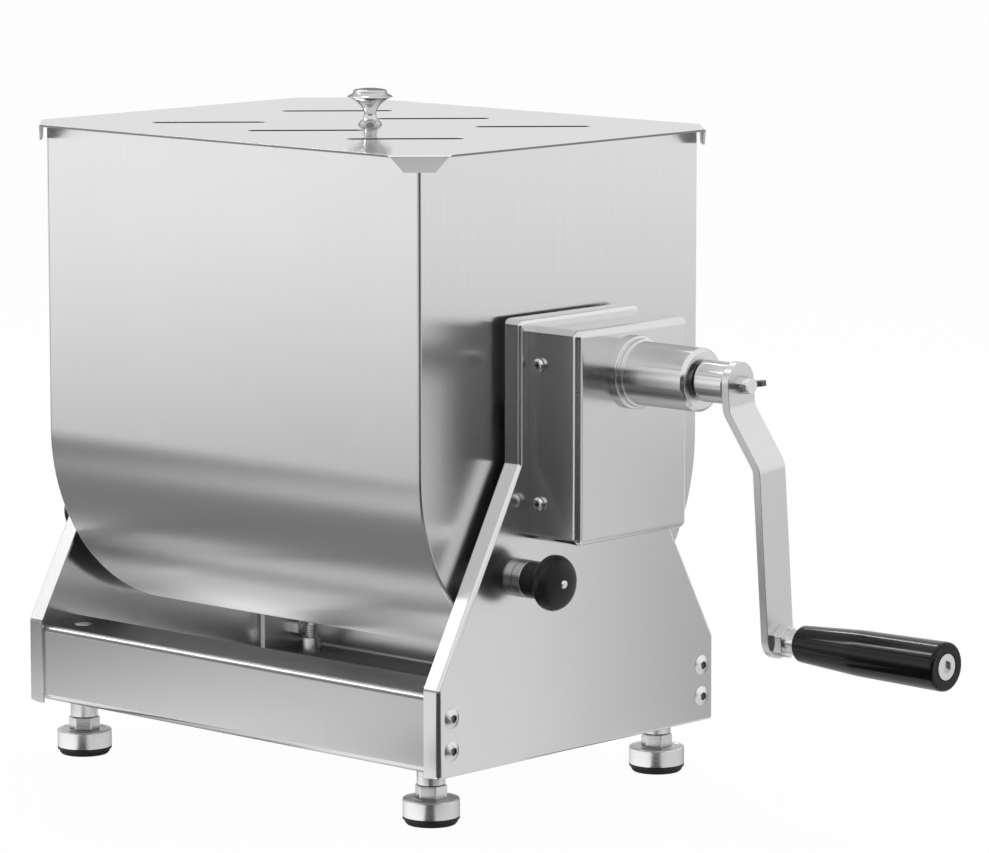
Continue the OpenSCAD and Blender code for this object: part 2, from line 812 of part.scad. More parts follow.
module lid_slot() {
  reach = (slot_len - slot_w) / 2;
  rotate([0, 0, 45]) {
    translate([-reach, -slot_w / 2, 0]) cube([2 * reach, slot_w, lid_t + 2 * over]);
    for (x = [-reach, reach]) translate([x, 0, 0]) cylinder(d = slot_w, h = lid_t + 2 * over);
  }
}

module lid_tab() {
  fold = lid_cut * sqrt(2) / 2;
  translate([lid_half_w - lid_cut / 2, lid_half_d - lid_cut / 2, tank_top]) rotate([0, 0, -45])
    rotate([90, 0, 0]) linear_extrude(lid_t)
      polygon([[-fold, lid_t], [fold, lid_t], [fold - tab_draw, -tab_h], [tab_draw - fold, -tab_h]]);
}

module lid_plate() {
  corner = [lid_half_w, lid_half_d];
  edge = [[corner[0], corner[1] - lid_cut], [corner[0] - lid_cut, corner[1]]];
  outline = [edge[0], edge[1], [-edge[1][0], edge[1][1]], [-edge[0][0], edge[0][1]],
             -edge[0], -edge[1], [edge[1][0], -edge[1][1]], [edge[0][0], -edge[0][1]]];
  polished() at_middle() difference() {
    union() {
      translate([0, 0, tank_top]) linear_extrude(lid_t) polygon(outline);
      for (side = [-1, 1], end = [-1, 1]) sided(side) mirror([0, end < 0 ? 1 : 0, 0]) lid_tab();
    }
    for (column = [-1, 0, 1], row = [-1, 1])
      translate([column * slot_pitch, row * slot_row, tank_top - over]) lid_slot();
    translate([0, 0, tank_top - over]) cylinder(d = knob_screw_d + 2 * run_gap, h = lid_t + 2 * over);
  }
}

module lid_knob() {
  rim = knob_d / 2;
  foot = knob_foot_d / 2;
  neck = knob_neck_d / 2;
  h = knob_h;
  profile = [[0, 0], [foot, 0], [foot, 0.05 * h], [(foot + neck) / 2, 0.1 * h], [neck, 0.2 * h],
             [neck, 0.34 * h], [neck + 0.14 * (rim - neck), 0.46 * h],
             [neck + 0.36 * (rim - neck), 0.6 * h], [neck + 0.68 * (rim - neck), 0.7 * h],
             [rim, 0.755 * h], [rim, 0.775 * h], [0.83 * rim, 0.83 * h], [0.735 * rim, 0.875 * h],
             [0.74 * rim, 0.925 * h], [0.66 * rim, 0.96 * h], [0.35 * rim, 0.99 * h], [0, h]];
  color("silver") at_middle() translate([0, 0, lid_top]) difference() {
    rotate_extrude() polygon(profile);
    translate([0, 0, -over]) cylinder(d = knob_screw_d + 2 * run_gap, h = knob_screw_len + 0.5 + over);
  }
}

module lid_knob_screw() {
  slot = knob_screw_d * 0.2;
  polished() at_middle() translate([0, 0, tank_top]) difference() {
    union() {
      translate([0, 0, -knob_screw_head_h]) cylinder(d = knob_screw_head_d, h = knob_screw_head_h);
      cylinder(d = knob_screw_d, h = lid_t + knob_screw_len);
    }
    box([-slot * 2, -slot / 2, -knob_screw_head_h - over], [slot * 2, slot / 2, -knob_screw_head_h / 2]);
  }
}

// Paddles

module paddle_shaft() {
  polished() at_axis() difference() {
    union() {
      x_bar(shaft_d, shaft_left, shaft_right);
      x_bar(shoulder_d, shoulder_x, gear_x);
    }
    x_tube(shaft_d + over, groove_d, ring_x, ring_x + gear_ring_t);
    box([gear_x, -key_w / 2, shaft_d / 2 - key_seat], [ring_x, key_w / 2, shaft_d]);
  }
}

module paddle(x, way) {
  steel() at_axis() translate([x, 0, 0]) rotate([way > 0 ? 0 : 180, 0, 0]) difference() {
    union() {
      x_bar(hub_d, -hub_len / 2, hub_len / 2);
      rotate([-90, 0, 0]) cylinder(d = rod_d, h = blade_reach - blade_h + rod_bite);
      translate([0, blade_reach - blade_h, 0]) rotate([0, blade_tilt, 0])
        translate([-blade_w / 2, 0, -blade_t / 2]) cube([blade_w, blade_h, blade_t]);
    }
    x_bar(shaft_d, -hub_len / 2 - over, hub_len / 2 + over);
  }
}

module mixing_paddles() {
  for (i = [0:paddle_count - 1])
    paddle((i - (paddle_count - 1) / 2) * paddle_pitch, i % 2 == 0 ? 1 : -1);
}

// Gears

// Angle in degrees from the start of an involute to its point at radius r
function involute(r, base) =
  let (a = sqrt(max(0, pow(r / base, 2) - 1)))
  a * 180 / PI - atan(a);

// Half of a tooth's angle at radius r
function half_tooth(r, pitch_r, teeth) =
  let (base = pitch_r * cos(pressure_angle))
  90 / teeth - backlash * 45 / (PI * pitch_r) + involute(pitch_r, base) - involute(r, base);

function gear_outline(teeth) =
  let (
    pitch_r = gear_module * teeth / 2,
    tip = pitch_r + gear_module,
    root = pitch_r - root_depth * gear_module,
    start = max(pitch_r * cos(pressure_angle), root),
    radii = concat([root], [for (i = [0:flank_steps]) start + (tip - start) * i / flank_steps]),
    flank = [for (r = radii) [r, half_tooth(max(r, start), pitch_r, teeth)]],
    last = len(flank) - 1
  )
  [for (i = [0:teeth - 1], side = [-1, 1], k = [0:last])
    let (p = flank[side < 0 ? k : last - k], a = i * 360 / teeth + side * p[1])
    p[0] * [cos(a), sin(a)]];

module gear_blank(teeth, turn) {
  translate([gear_x, 0, 0]) rotate([0, 90, 0]) rotate([0, 0, turn]) linear_extrude(face_w)
    polygon(gear_outline(teeth));
}

// A tooth of the gear points up to the pinion
module driven_gear() {
  color("silver") at_axis() difference() {
    gear_blank(gear_teeth, 180);
    x_bar(shaft_d, gear_x - over, ring_x + over);
    box([gear_x - over, -key_w / 2, 0], [ring_x + over, key_w / 2, shaft_d / 2 - key_seat + key_h]);
  }
}

module gear_key() {
  seat = shaft_d / 2 - key_seat;
  color("silver") at_axis() box([gear_x, -key_w / 2, seat], [ring_x, key_w / 2, seat + key_h - 0.2]);
}

module gear_ring() {
  color("dimgray") at_axis() difference() {
    x_tube(gear_ring_d, groove_d, ring_x, ring_x + gear_ring_t);
    box([ring_x - over, -3, 0], [ring_x + gear_ring_t + over, 3, gear_ring_d]);
  }
}

// A gap of the pinion points down to the gear
module drive_pinion() {
  color("silver") at_crank() difference() {
    union() {
      gear_blank(pinion_teeth, 180 / pinion_teeth);
      x_bar(pinion_hub_d, gear_x + face_w, cover_in - face_gap);
    }
    x_bar(crank_shaft_d, gear_x - over, cover_in + over);
    translate([pinion_pin_x, 0, -pinion_hub_d]) cylinder(d = pinion_pin_d, h = 2 * pinion_hub_d);
  }
}

module pinion_pin() {
  color("dimgray") at_crank() translate([pinion_pin_x, 0, -pinion_hub_d / 2 + 0.5])
    cylinder(d = pinion_pin_d, h = pinion_hub_d - 1);
}

// Crank

module crank_shaft() {
  key_x = socket_x + 3;
  polished() at_crank() difference() {
    x_bar(crank_shaft_d, crank_shaft_in, crank_shaft_out);
    translate([pinion_pin_x, 0, -crank_shaft_d]) cylinder(d = pinion_pin_d, h = 2 * crank_shaft_d);
    rotate([crank_rest, 0, 0]) {
      x_bar(wing_screw_d + 2 * run_gap, arm_x - wing_screw_len - 1, arm_x + over);
      box([key_x, -crank_key_w / 2, crank_shaft_d / 2 - crank_key_seat],
          [key_x + crank_key_len, crank_key_w / 2, crank_shaft_d]);
    }
  }
}

module crank_key() {
  key_x = socket_x + 3;
  seat = crank_shaft_d / 2 - crank_key_seat;
  color("dimgray") crank_pose() box([key_x, -crank_key_w / 2, seat],
                                    [key_x + crank_key_len, crank_key_w / 2, seat + crank_key_w - 0.2]);
}

module crank_socket() {
  seat = crank_shaft_d / 2 - crank_key_seat;
  steel() crank_pose() difference() {
    x_tube(socket_d, crank_shaft_d + 2 * run_gap, socket_x, arm_x);
    box([socket_x - over, -crank_key_w / 2, 0], [arm_x - 3, crank_key_w / 2, seat + crank_key_w]);
  }
}

// Point on a bend of the arm, with its middle at [cx, cz]
function bend_point(cx, cz, way, r, a) = [cx - way * r * cos(a), cz - way * r * sin(a)];

// One face of the arm from its top to its tail; face is -1 for the inner face and 1 for the outer
function arm_face(face) =
  let (
    shift = face * arm_t / 2,
    upper = [bend_r, bend_run - bend_upper],
    lower = [arm_offset - bend_r, -bend_lower - bend_run]
  )
  concat(
    [[shift, arm_top]],
    [for (i = [0:bend_steps])
      bend_point(upper[0], upper[1], 1, bend_r - shift, bend_angle * i / bend_steps)],
    [for (i = [bend_steps:-1:0])
      bend_point(lower[0], lower[1], -1, bend_r + shift, bend_angle * i / bend_steps)],
    [[arm_offset + shift, -crank_r - arm_tail]]
  );

module crank_arm() {
  outer = arm_face(1);
  last = len(outer) - 1;
  round_top = arm_top - arm_w / 2;
  round_tail = arm_w / 2 - crank_r - arm_tail;
  steel() crank_pose() difference() {
    intersection() {
      translate([arm_x + arm_t / 2, arm_w / 2, 0]) rotate([90, 0, 0]) linear_extrude(arm_w)
        polygon(concat(arm_face(-1), [for (i = [last:-1:0]) outer[i]]));
      union() {
        box([arm_x - over, -arm_w, round_tail], [arm_out + over, arm_w, round_top]);
        for (z = [round_top, round_tail]) translate([0, 0, z]) x_bar(arm_w, arm_x - over, arm_out + over);
      }
    }
    x_bar(wing_screw_d + 2 * run_gap, arm_x - over, arm_out + over);
    translate([0, 0, -crank_r]) x_bar(spindle_d + 2 * run_gap, arm_x - over, arm_out + over);
  }
}

module wing_screw() {
  face = arm_x + arm_t;
  wing = [[0.5, 0], [0.5, wing_span * 0.4], [wing_out * 0.35, wing_span * 0.55],
          [wing_out * 0.7, wing_span], [wing_out, wing_span], [wing_out * 0.95, wing_span * 0.7],
          [wing_out * 0.55, wing_span * 0.3], [wing_hub_h * 0.9, 0]];
  color("silver") crank_pose() {
    x_bar(wing_screw_d, arm_x - wing_screw_len, face + over);
    translate([face, 0, 0]) {
      x_turned(0, [[0, 0], [wing_hub_d / 2, 0], [wing_hub_d * 0.42, wing_hub_h], [0, wing_hub_h]]);
      for (way = [0, 1]) mirror([0, way, 0]) translate([0, 0, -wing_t / 2]) linear_extrude(wing_t)
        polygon(wing);
    }
  }
}

module grip_spindle() {
  head_x = grip_end - grip_recess + face_gap / 2;
  polished() at_grip() difference() {
    union() {
      x_bar(spindle_d, arm_out - arm_t, head_x + over);
      x_bar(collar_d, arm_out + nut_h, arm_out + nut_h + collar_len);
      x_bar(spindle_head_d, head_x, head_x + spindle_head_t);
    }
    x_hex(spindle_head_d * 0.45, head_x + spindle_head_t / 2, head_x + spindle_head_t + over);
  }
}

module grip_nut() {
  polished() at_grip() difference() {
    x_hex(nut_af, arm_out, arm_out + nut_h);
    x_bar(spindle_d + 2 * run_gap, arm_out - over, arm_out + nut_h + over);
  }
}

module grip() {
  r_in = grip_d_in / 2;
  r_mid = grip_d_mid / 2;
  r_out = grip_d_out / 2;
  bore = spindle_d / 2 + run_gap;
  head = grip_recess_d / 2;
  black() at_grip() x_turned(grip_x, [
    [bore, 0], [r_in - grip_edge, 0], [r_in, grip_edge], [r_mid, grip_knee],
    [r_out, grip_len - grip_edge], [r_out - grip_edge, grip_len],
    [head, grip_len], [head, grip_len - grip_recess], [bore, grip_len - grip_recess]
  ]);
}

// Lock plungers

module plunger_body(side) {
  steel() at_plunger(side) difference() {
    union() {
      x_bar(sleeve_d, sleeve_in, frame_x);
      x_bar(ring_d, frame_x, ring_out);
    }
    x_bar(pin_d + 2 * run_gap, sleeve_in - over, ring_out + over);
    x_bar(chamber_d, sleeve_in + guide_t, ring_out - guide_t);
  }
}

module right_plunger_body() { plunger_body(1); }
module left_plunger_body() { plunger_body(-1); }

module plunger_nuts() {
  steel() for (side = [-1, 1]) at_plunger(side) difference() {
    x_hex(plunger_nut_af, sheet_in - plunger_nut_t, sheet_in);
    x_bar(sleeve_d + 2 * run_gap, sheet_in - plunger_nut_t - over, sheet_in + over);
  }
}

module plunger_pin(side) {
  polished() at_plunger(side) {
    x_bar(pin_d, nose_x, pin_end);
    x_bar(chamber_d - 1, pin_collar_x, pin_collar_x + pin_collar_t);
  }
}

module right_plunger_pin() { plunger_pin(1); }
module left_plunger_pin() { plunger_pin(-1); }

module plunger_knob(side) {
  skirt = skirt_d / 2;
  rim = head_d / 2;
  bore = pin_d / 2 + run_gap;
  hole = rivet_d / 2 + run_gap;
  end = pin_end - knob_x;
  black() at_plunger(side) x_turned(knob_x, [
    [bore, 0], [skirt, 0], [skirt, 0.34 * head_len], [skirt + 0.12 * (rim - skirt), 0.44 * head_len],
    [skirt + 0.5 * (rim - skirt), 0.53 * head_len], [rim - 0.6, 0.59 * head_len],
    [rim, 0.63 * head_len], [rim, 0.76 * head_len], [rim - 1, 0.83 * head_len],
    [0.86 * rim, 0.89 * head_len], [0.6 * rim, 0.96 * head_len], [0.3 * rim, head_len],
    [hole, head_len], [hole, end], [bore, end]
  ]);
}

module right_plunger_knob() { plunger_knob(1); }
module left_plunger_knob() { plunger_knob(-1); }

module plunger_rivet(side) {
  head_x = knob_x + head_len;
  polished() at_plunger(side) {
    x_bar(rivet_d, pin_end, head_x + rivet_head_h / 2);
    x_turned(head_x, [[0, 0], [rivet_head_d / 2, 0], [rivet_head_d * 0.4, rivet_head_h * 0.7],
                      [rivet_head_d * 0.2, rivet_head_h], [0, rivet_head_h]]);
  }
}

module right_plunger_rivet() { plunger_rivet(1); }
module left_plunger_rivet() { plunger_rivet(-1); }

// Coil spring as one tube swept along a helix round X
coil_rings = 12;
coil_sides = 6;
coil_pitch = (spring_len - spring_wire - 2 * run_gap) / spring_turns;
function coil_angle(i) = i * 360 / coil_rings;
function coil_point(i, k) =
  let (a = coil_angle(i), b = k * 360 / coil_sides, r = (spring_d + spring_wire * cos(b)) / 2)
  [spring_x + run_gap + spring_wire / 2 + coil_pitch * i / coil_rings + spring_wire / 2 * sin(b),
   r * cos(a), r * sin(a)];

module coil() {
  rings = floor(spring_turns * coil_rings);
  points = [for (i = [0:rings], k = [0:coil_sides - 1]) coil_point(i, k)];
  walls = [for (i = [0:rings - 1], k = [0:coil_sides - 1])
    let (p = i * coil_sides + k, q = i * coil_sides + (k + 1) % coil_sides)
    each [[p, p + coil_sides, q], [q, p + coil_sides, q + coil_sides]]];
  first = [for (k = [1:coil_sides - 2]) [0, k, k + 1]];
  last = [for (k = [1:coil_sides - 2]) rings * coil_sides * [1, 1, 1] + [0, k + 1, k]];
  polyhedron(points, concat(walls, first, last));
}

module plunger_spring(side) { color("gray") at_plunger(side) coil(); }
module right_plunger_spring() { plunger_spring(1); }
module left_plunger_spring() { plunger_spring(-1); }

// Feet

module foot(x, y) {
  r = cup_d / 2;
  polished() translate([x, y, 0]) {
    translate([0, 0, pad_t]) rotate_extrude() polygon([[0, 0], [r - 0.5, 0], [r, 0.5],
      [r, cup_h - cup_shoulder], [r - 0.3 * cup_shoulder, cup_h - 0.4 * cup_shoulder],
      [r - cup_shoulder, cup_h - 0.1 * cup_shoulder], [foot_hex_af / 2, cup_h], [0, cup_h]]);
    translate([0, 0, foot_hex_z]) cylinder(d = foot_hex_af / cos(30), h = foot_hex_h, $fn = 6);
    translate([0, 0, stud_z - over]) cylinder(d = stud_d, h = stud_len + over);
  }
}

module pad(x, y) {
  r = cup_d / 2;
  black() translate([x, y, 0]) rotate_extrude()
    polygon([[0, 0], [r - 2 * pad_lip, 0], [r - pad_lip, pad_lip], [r - pad_lip, pad_t - 1.5 * pad_lip],
             [r, pad_t - pad_lip], [r, pad_t], [0, pad_t]]);
}

module front_right_foot() { foot(foot_x, -foot_y); }
module front_right_pad() { pad(foot_x, -foot_y); }
module front_left_foot() { foot(-foot_x, -foot_y); }
module front_left_pad() { pad(-foot_x, -foot_y); }
module rear_right_foot() { foot(foot_x, foot_y); }
module rear_right_pad() { pad(foot_x, foot_y); }
module rear_left_foot() { foot(-foot_x, foot_y); }
module rear_left_pad() { pad(-foot_x, foot_y); }

right_side_frame();
left_side_frame();
front_beam();
rear_beam();
beam_screws();
beam_nuts();
foot_bushes();
gearbox_plate();
gearbox_cover();
gearbox_screws();
crank_boss();
crank_bushes();
right_pivot_bush();
left_pivot_bush();
left_bearing_cap();
left_cap_screws();
right_plunger_body();
left_plunger_body();
plunger_nuts();
tank_shell();
tank_right_end();
tank_left_end();
right_trunnion();
left_trunnion();
lock_bosses();
shaft_seals();
lid_plate();
lid_knob();
lid_knob_screw();
paddle_shaft();
mixing_paddles();
driven_gear();
gear_key();
gear_ring();
crank_shaft();
drive_pinion();
pinion_pin();
crank_socket();
crank_key();
crank_arm();
wing_screw();
grip_spindle();
grip_nut();
grip();
right_plunger_pin();
right_plunger_knob();
right_plunger_rivet();
right_plunger_spring();
left_plunger_pin();
left_plunger_knob();
left_plunger_rivet();
left_plunger_spring();
front_right_foot();
front_right_pad();
front_left_foot();
front_left_pad();
rear_right_foot();
rear_right_pad();
rear_left_foot();
rear_left_pad();
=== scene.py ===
"""Looks of a manual meat mixer: stainless tank and frames, turned steel, black grips, studio light.

Lengths are in metres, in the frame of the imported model: +X towards the crank, -Y to the front, +Z up.
"""

import json
import math

import bmesh
import bpy
from mathutils import Matrix, Vector


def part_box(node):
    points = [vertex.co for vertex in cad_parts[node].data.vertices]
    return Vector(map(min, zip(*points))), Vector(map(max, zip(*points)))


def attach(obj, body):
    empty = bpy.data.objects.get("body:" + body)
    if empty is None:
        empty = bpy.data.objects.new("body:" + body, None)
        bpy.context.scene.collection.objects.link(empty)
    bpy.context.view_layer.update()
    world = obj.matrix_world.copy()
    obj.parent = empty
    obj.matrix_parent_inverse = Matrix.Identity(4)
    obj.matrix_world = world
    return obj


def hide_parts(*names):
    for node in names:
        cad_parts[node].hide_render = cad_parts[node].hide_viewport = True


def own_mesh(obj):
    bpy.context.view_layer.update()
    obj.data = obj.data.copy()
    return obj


MM = 0.001
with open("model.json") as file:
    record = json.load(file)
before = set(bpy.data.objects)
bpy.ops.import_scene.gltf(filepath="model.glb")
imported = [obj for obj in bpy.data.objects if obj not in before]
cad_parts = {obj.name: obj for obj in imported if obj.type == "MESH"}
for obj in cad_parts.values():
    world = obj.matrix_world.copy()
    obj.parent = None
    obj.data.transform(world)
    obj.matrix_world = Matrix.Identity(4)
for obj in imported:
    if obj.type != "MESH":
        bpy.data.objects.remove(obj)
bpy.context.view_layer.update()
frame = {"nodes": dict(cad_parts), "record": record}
nodes = frame["nodes"]
body_of = {n: b for b, group in frame["record"]["behaviour"]["bodies"].items() for n in group}


def centre_of(node):
    """Middle of a CAD node's box."""
    low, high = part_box(node)
    return tuple((a + b) / 2 for a, b in zip(low, high))


def add_object(name, data):
    """New object in the scene."""
    obj = bpy.data.objects.new(name, data)
    bpy.context.scene.collection.objects.link(obj)
    return obj


# Materials. A grain is the number of streaks per metre along each axis.

def link(tree, a, b):
    tree.links.new(a, b)


def blank_material(name):
    material = bpy.data.materials.new(name)
    material.use_nodes = True
    tree = material.node_tree
    return material, tree, tree.nodes["Principled BSDF"]


def even(value):
    """The same value along all axes of a grain, or in all channels of a colour."""
    return (value, value, value)


def noise(tree, grain, detail, roughness=0.55):
    """Noise in object coordinates, stretched by a grain."""
    source = tree.nodes.new("ShaderNodeTexCoord")
    mapping = tree.nodes.new("ShaderNodeMapping")
    mapping.inputs["Scale"].default_value = grain
    link(tree, source.outputs["Object"], mapping.inputs["Vector"])
    node = tree.nodes.new("ShaderNodeTexNoise")
    node.inputs["Scale"].default_value = 1.0
    node.inputs["Detail"].default_value = detail
    node.inputs["Roughness"].default_value = roughness
    link(tree, mapping.outputs["Vector"], node.inputs["Vector"])
    return node.outputs["Fac"]


def spread(tree, value, low, high, start=0.3, end=0.7):
    """Map a value between start and end to the range from low to high. Most noise lies within 0.3 to 0.7."""
    node = tree.nodes.new("ShaderNodeMapRange")
    node.inputs["From Min"].default_value = start
    node.inputs["From Max"].default_value = end
    node.inputs["To Min"].default_value = low
    node.inputs["To Max"].default_value = high
    link(tree, value, node.inputs["Value"])
    return node.outputs["Result"]


def combine(tree, operation, a, b):
    """Arithmetic on a value and a further value or a plain number."""
    node = tree.nodes.new("ShaderNodeMath")
    node.operation = operation
    link(tree, a, node.inputs[0])
    if isinstance(b, float):
        node.inputs[1].default_value = b
    else:
        link(tree, b, node.inputs[1])
    return node.outputs["Value"]


def tint(tree, value, dark, light):
    """Colour between two colours."""
    node = tree.nodes.new("ShaderNodeMix")
    node.data_type = "RGBA"
    node.inputs["A"].default_value = (*dark, 1.0)
    node.inputs["B"].default_value = (*light, 1.0)
    link(tree, value, node.inputs["Factor"])
    return node.outputs["Result"]


def bump(tree, bsdf, height, strength, distance):
    node = tree.nodes.new("ShaderNodeBump")
    node.inputs["Strength"].default_value = strength
    node.inputs["Distance"].default_value = distance
    link(tree, height, node.inputs["Height"])
    link(tree, node.outputs["Normal"], bsdf.inputs["Normal"])


def stretch_gloss(tree, bsdf, anisotropy):
    """Stretch the highlights across the grain that the pieces' UV map holds."""
    bsdf.inputs["Anisotropic"].default_value = anisotropy
    if anisotropy > 0.0:
        tangent = tree.nodes.new("ShaderNodeTangent")
        tangent.direction_type = "UV_MAP"
        tangent.uv_map = "grain"
        link(tree, tangent.outputs["Tangent"], bsdf.inputs["Tangent"])


SMEAR_GRAIN = even(5.0)
SMEAR = 0.012
ROUGH_SPREAD = 0.05
SCRATCH_DEPTH = 0.08 * MM


def steel(name, grain, colour, rough, anisotropy=0.0, streak=0.03, relief=0.02, edge=1.0):
    """Ground or turned steel.

    The grain streaks its colour, roughness and relief. edge is the brightness of its gloss at flat angles.
    """
    material, tree, bsdf = blank_material(name)
    fine = noise(tree, grain, 4.0, 0.65)
    broad = noise(tree, SMEAR_GRAIN, 3.0)
    line = spread(tree, fine, 0.0, 1.0)
    dark = [c * (1.0 - streak) for c in colour]
    light = [min(1.0, c * (1.0 + streak)) for c in colour]
    link(tree, tint(tree, line, dark, light), bsdf.inputs["Base Color"])
    scratch = spread(tree, fine, rough * (1.0 - ROUGH_SPREAD), rough * (1.0 + ROUGH_SPREAD))
    smear = spread(tree, broad, -SMEAR, SMEAR)
    link(tree, combine(tree, "ADD", scratch, smear), bsdf.inputs["Roughness"])
    bsdf.inputs["Metallic"].default_value = 1.0
    bsdf.inputs["Specular Tint"].default_value = (edge, edge, edge, 1.0)
    stretch_gloss(tree, bsdf, anisotropy)
    bump(tree, bsdf, line, relief, SCRATCH_DEPTH)
    return material


SCUFF_GRAIN = even(900.0)
SCUFF_RELIEF = 0.03
SCUFF_DEPTH = 0.03 * MM
FLOW_GRAIN = even(40.0)
FLOW_GAIN = 1.6
FLOW_LIFT = 0.002


def plastic(name, colour, rough, gloss, anisotropy=0.0):
    """Moulded black plastic with faint flow marks and fine scuffs."""
    material, tree, bsdf = blank_material(name)
    fine = noise(tree, SCUFF_GRAIN, 3.0)
    broad = noise(tree, FLOW_GRAIN, 4.0)
    lighter = [c * FLOW_GAIN + FLOW_LIFT for c in colour]
    link(tree, tint(tree, spread(tree, broad, 0.0, 1.0), colour, lighter), bsdf.inputs["Base Color"])
    link(tree, spread(tree, broad, rough * 0.85, rough * 1.2), bsdf.inputs["Roughness"])
    bsdf.inputs["Specular IOR Level"].default_value = gloss
    stretch_gloss(tree, bsdf, anisotropy)
    bump(tree, bsdf, fine, SCUFF_RELIEF, SCUFF_DEPTH)
    return material


RUBBER_GRAIN = even(1500.0)
RUBBER_STAINS = even(60.0)
RUBBER_DARK = (0.012, 0.012, 0.012)
RUBBER_LIGHT = (0.028, 0.027, 0.026)
RUBBER_RELIEF = 0.25
RUBBER_DEPTH = 0.2 * MM


def rubber(name):
    """Black rubber with a fine rough grain and paler stains."""
    material, tree, bsdf = blank_material(name)
    fine = noise(tree, RUBBER_GRAIN, 4.0)
    broad = noise(tree, RUBBER_STAINS, 3.0)
    colour = tint(tree, spread(tree, broad, 0.0, 1.0), RUBBER_DARK, RUBBER_LIGHT)
    link(tree, colour, bsdf.inputs["Base Color"])
    link(tree, spread(tree, fine, 0.6, 0.8), bsdf.inputs["Roughness"])
    bump(tree, bsdf, fine, RUBBER_RELIEF, RUBBER_DEPTH)
    return material


SEAL_GRAIN = even(300.0)
SEAL_SHADE = 0.9
SEAL_RELIEF = 0.1
SEAL_DEPTH = 0.1 * MM


def pale_plastic(name, colour, rough):
    """Plain pale plastic, as of seals."""
    material, tree, bsdf = blank_material(name)
    fine = noise(tree, SEAL_GRAIN, 4.0)
    darker = [c * SEAL_SHADE for c in colour]
    link(tree, tint(tree, spread(tree, fine, 0.0, 1.0), darker, colour), bsdf.inputs["Base Color"])
    link(tree, spread(tree, fine, rough * 0.9, rough * 1.1), bsdf.inputs["Roughness"])
    bump(tree, bsdf, fine, SEAL_RELIEF, SEAL_DEPTH)
    return material


STAINLESS = even(0.68)
TURNED = (0.74, 0.74, 0.745)
BRIGHT = (0.78, 0.78, 0.785)
FINE = 2600.0
LONG = 9.0
WRAP_GRAIN = (FINE, LONG, LONG)
UPRIGHT_GRAIN = (FINE, FINE, LONG)
LEVEL_GRAIN = (LONG, LONG, FINE)
LID_GRAIN = (400.0, LONG, LONG)
ROUND_GRAIN = (FINE, 40.0, 40.0)
SMALL_GRAIN = even(700.0)
SATIN_GRAIN = even(900.0)

wrap_steel = steel("wrap_steel", WRAP_GRAIN, STAINLESS, 0.3, 0.85, relief=0.012)
upright_steel = steel("upright_steel", UPRIGHT_GRAIN, STAINLESS, 0.3, 0.85, streak=0.02, relief=0.006,
                      edge=0.12)
level_steel = steel("level_steel", LEVEL_GRAIN, even(0.74), 0.19, 0.3, streak=0.015, relief=0.005)
end_steel = steel("end_steel", UPRIGHT_GRAIN, STAINLESS, 0.22, 0.8)
arm_steel = steel("arm_steel", (900.0, 900.0, 60.0), STAINLESS, 0.3, streak=0.012, relief=0.003)
satin_steel = steel("satin_steel", SATIN_GRAIN, STAINLESS, 0.18, streak=0.012, relief=0.002)
lid_steel = steel("lid_steel", LID_GRAIN, even(0.83), 0.1, streak=0.015, edge=0.75)
# Matt underside; its tone is set lighter than the top's as painted light, so the inner faces of the tabs
# read light
lid_back = steel("lid_back", LID_GRAIN, even(0.92), 0.9, streak=0.02)
# Dark steel: painted shade of the shadowed gap under the lid's edge, put on its cut edges
painted_edge_shade = steel("painted_edge_shade", LEVEL_GRAIN, even(0.22), 0.45, streak=0.05)
turned_steel = steel("turned_steel", (FINE, 20.0, 20.0), TURNED, 0.25, 0.75, streak=0.04, edge=0.55)
turned_upright = steel("turned_upright", (20.0, 20.0, FINE), TURNED, 0.28, streak=0.05, edge=0.5)
bright_steel = steel("bright_steel", SMALL_GRAIN, BRIGHT, 0.2, streak=0.02, relief=0.01, edge=0.45)
head_steel = steel("head_steel", SMALL_GRAIN, BRIGHT, 0.3, streak=0.02, relief=0.01, edge=0.35)
# Dark steel that paints shade into screw recesses and onto the rims of screw heads
recess_painted_shade = steel("recess_painted_shade", SMALL_GRAIN, even(0.13), 0.4, streak=0.05)
ring_steel = steel("ring_steel", ROUND_GRAIN, even(0.46), 0.28, streak=0.05, edge=0.4)
wing_steel = steel("wing_steel", SMALL_GRAIN, even(0.14), 0.35, streak=0.04)
chrome = steel("chrome", even(60.0), (0.66, 0.66, 0.67), 0.2, streak=0.01, relief=0.002, edge=0.2)
gear_steel = steel("gear_steel", ROUND_GRAIN, (0.42, 0.42, 0.43), 0.35, streak=0.08)
inner_steel = steel("inner_steel", ROUND_GRAIN, TURNED, 0.28, streak=0.05)
bronze = steel("bronze", ROUND_GRAIN, (0.2, 0.14, 0.07), 0.42, streak=0.08)
# Bronze darkened far below its own tone: painted shade for the crank bushes, which sit in shade
bronze_painted_shade = steel("bronze_painted_shade", ROUND_GRAIN, (0.045, 0.04, 0.035), 0.45, streak=0.08)
black_plastic = plastic("black_plastic", even(0.003), 0.13, 0.27)
knob_plastic = plastic("knob_plastic", even(0.005), 0.36, 0.3, 0.8)
black_rubber = rubber("black_rubber")
seal_plastic = pale_plastic("seal_plastic", (0.78, 0.76, 0.7), 0.5)


# Mesh helpers. Measures that differ by less than NEAR, or by less than ROUGHLY, count as the same.

NEAR = 0.2 * MM
ROUGHLY = 0.5 * MM
SAME_POINT = 0.001 * MM
CAD_POINT = 0.002 * MM
FLAT_ANGLE = math.radians(0.3)
SHARP_ANGLE = math.radians(28.0)
SMOOTH_ANGLE = math.radians(32.0)
X_AXIS = (1.0, 0.0, 0.0)
Y_AXIS = (0.0, 1.0, 0.0)
Z_AXIS = (0.0, 0.0, 1.0)
LEAST_RUN = 0.05
FLAT_SLOPE = 0.95


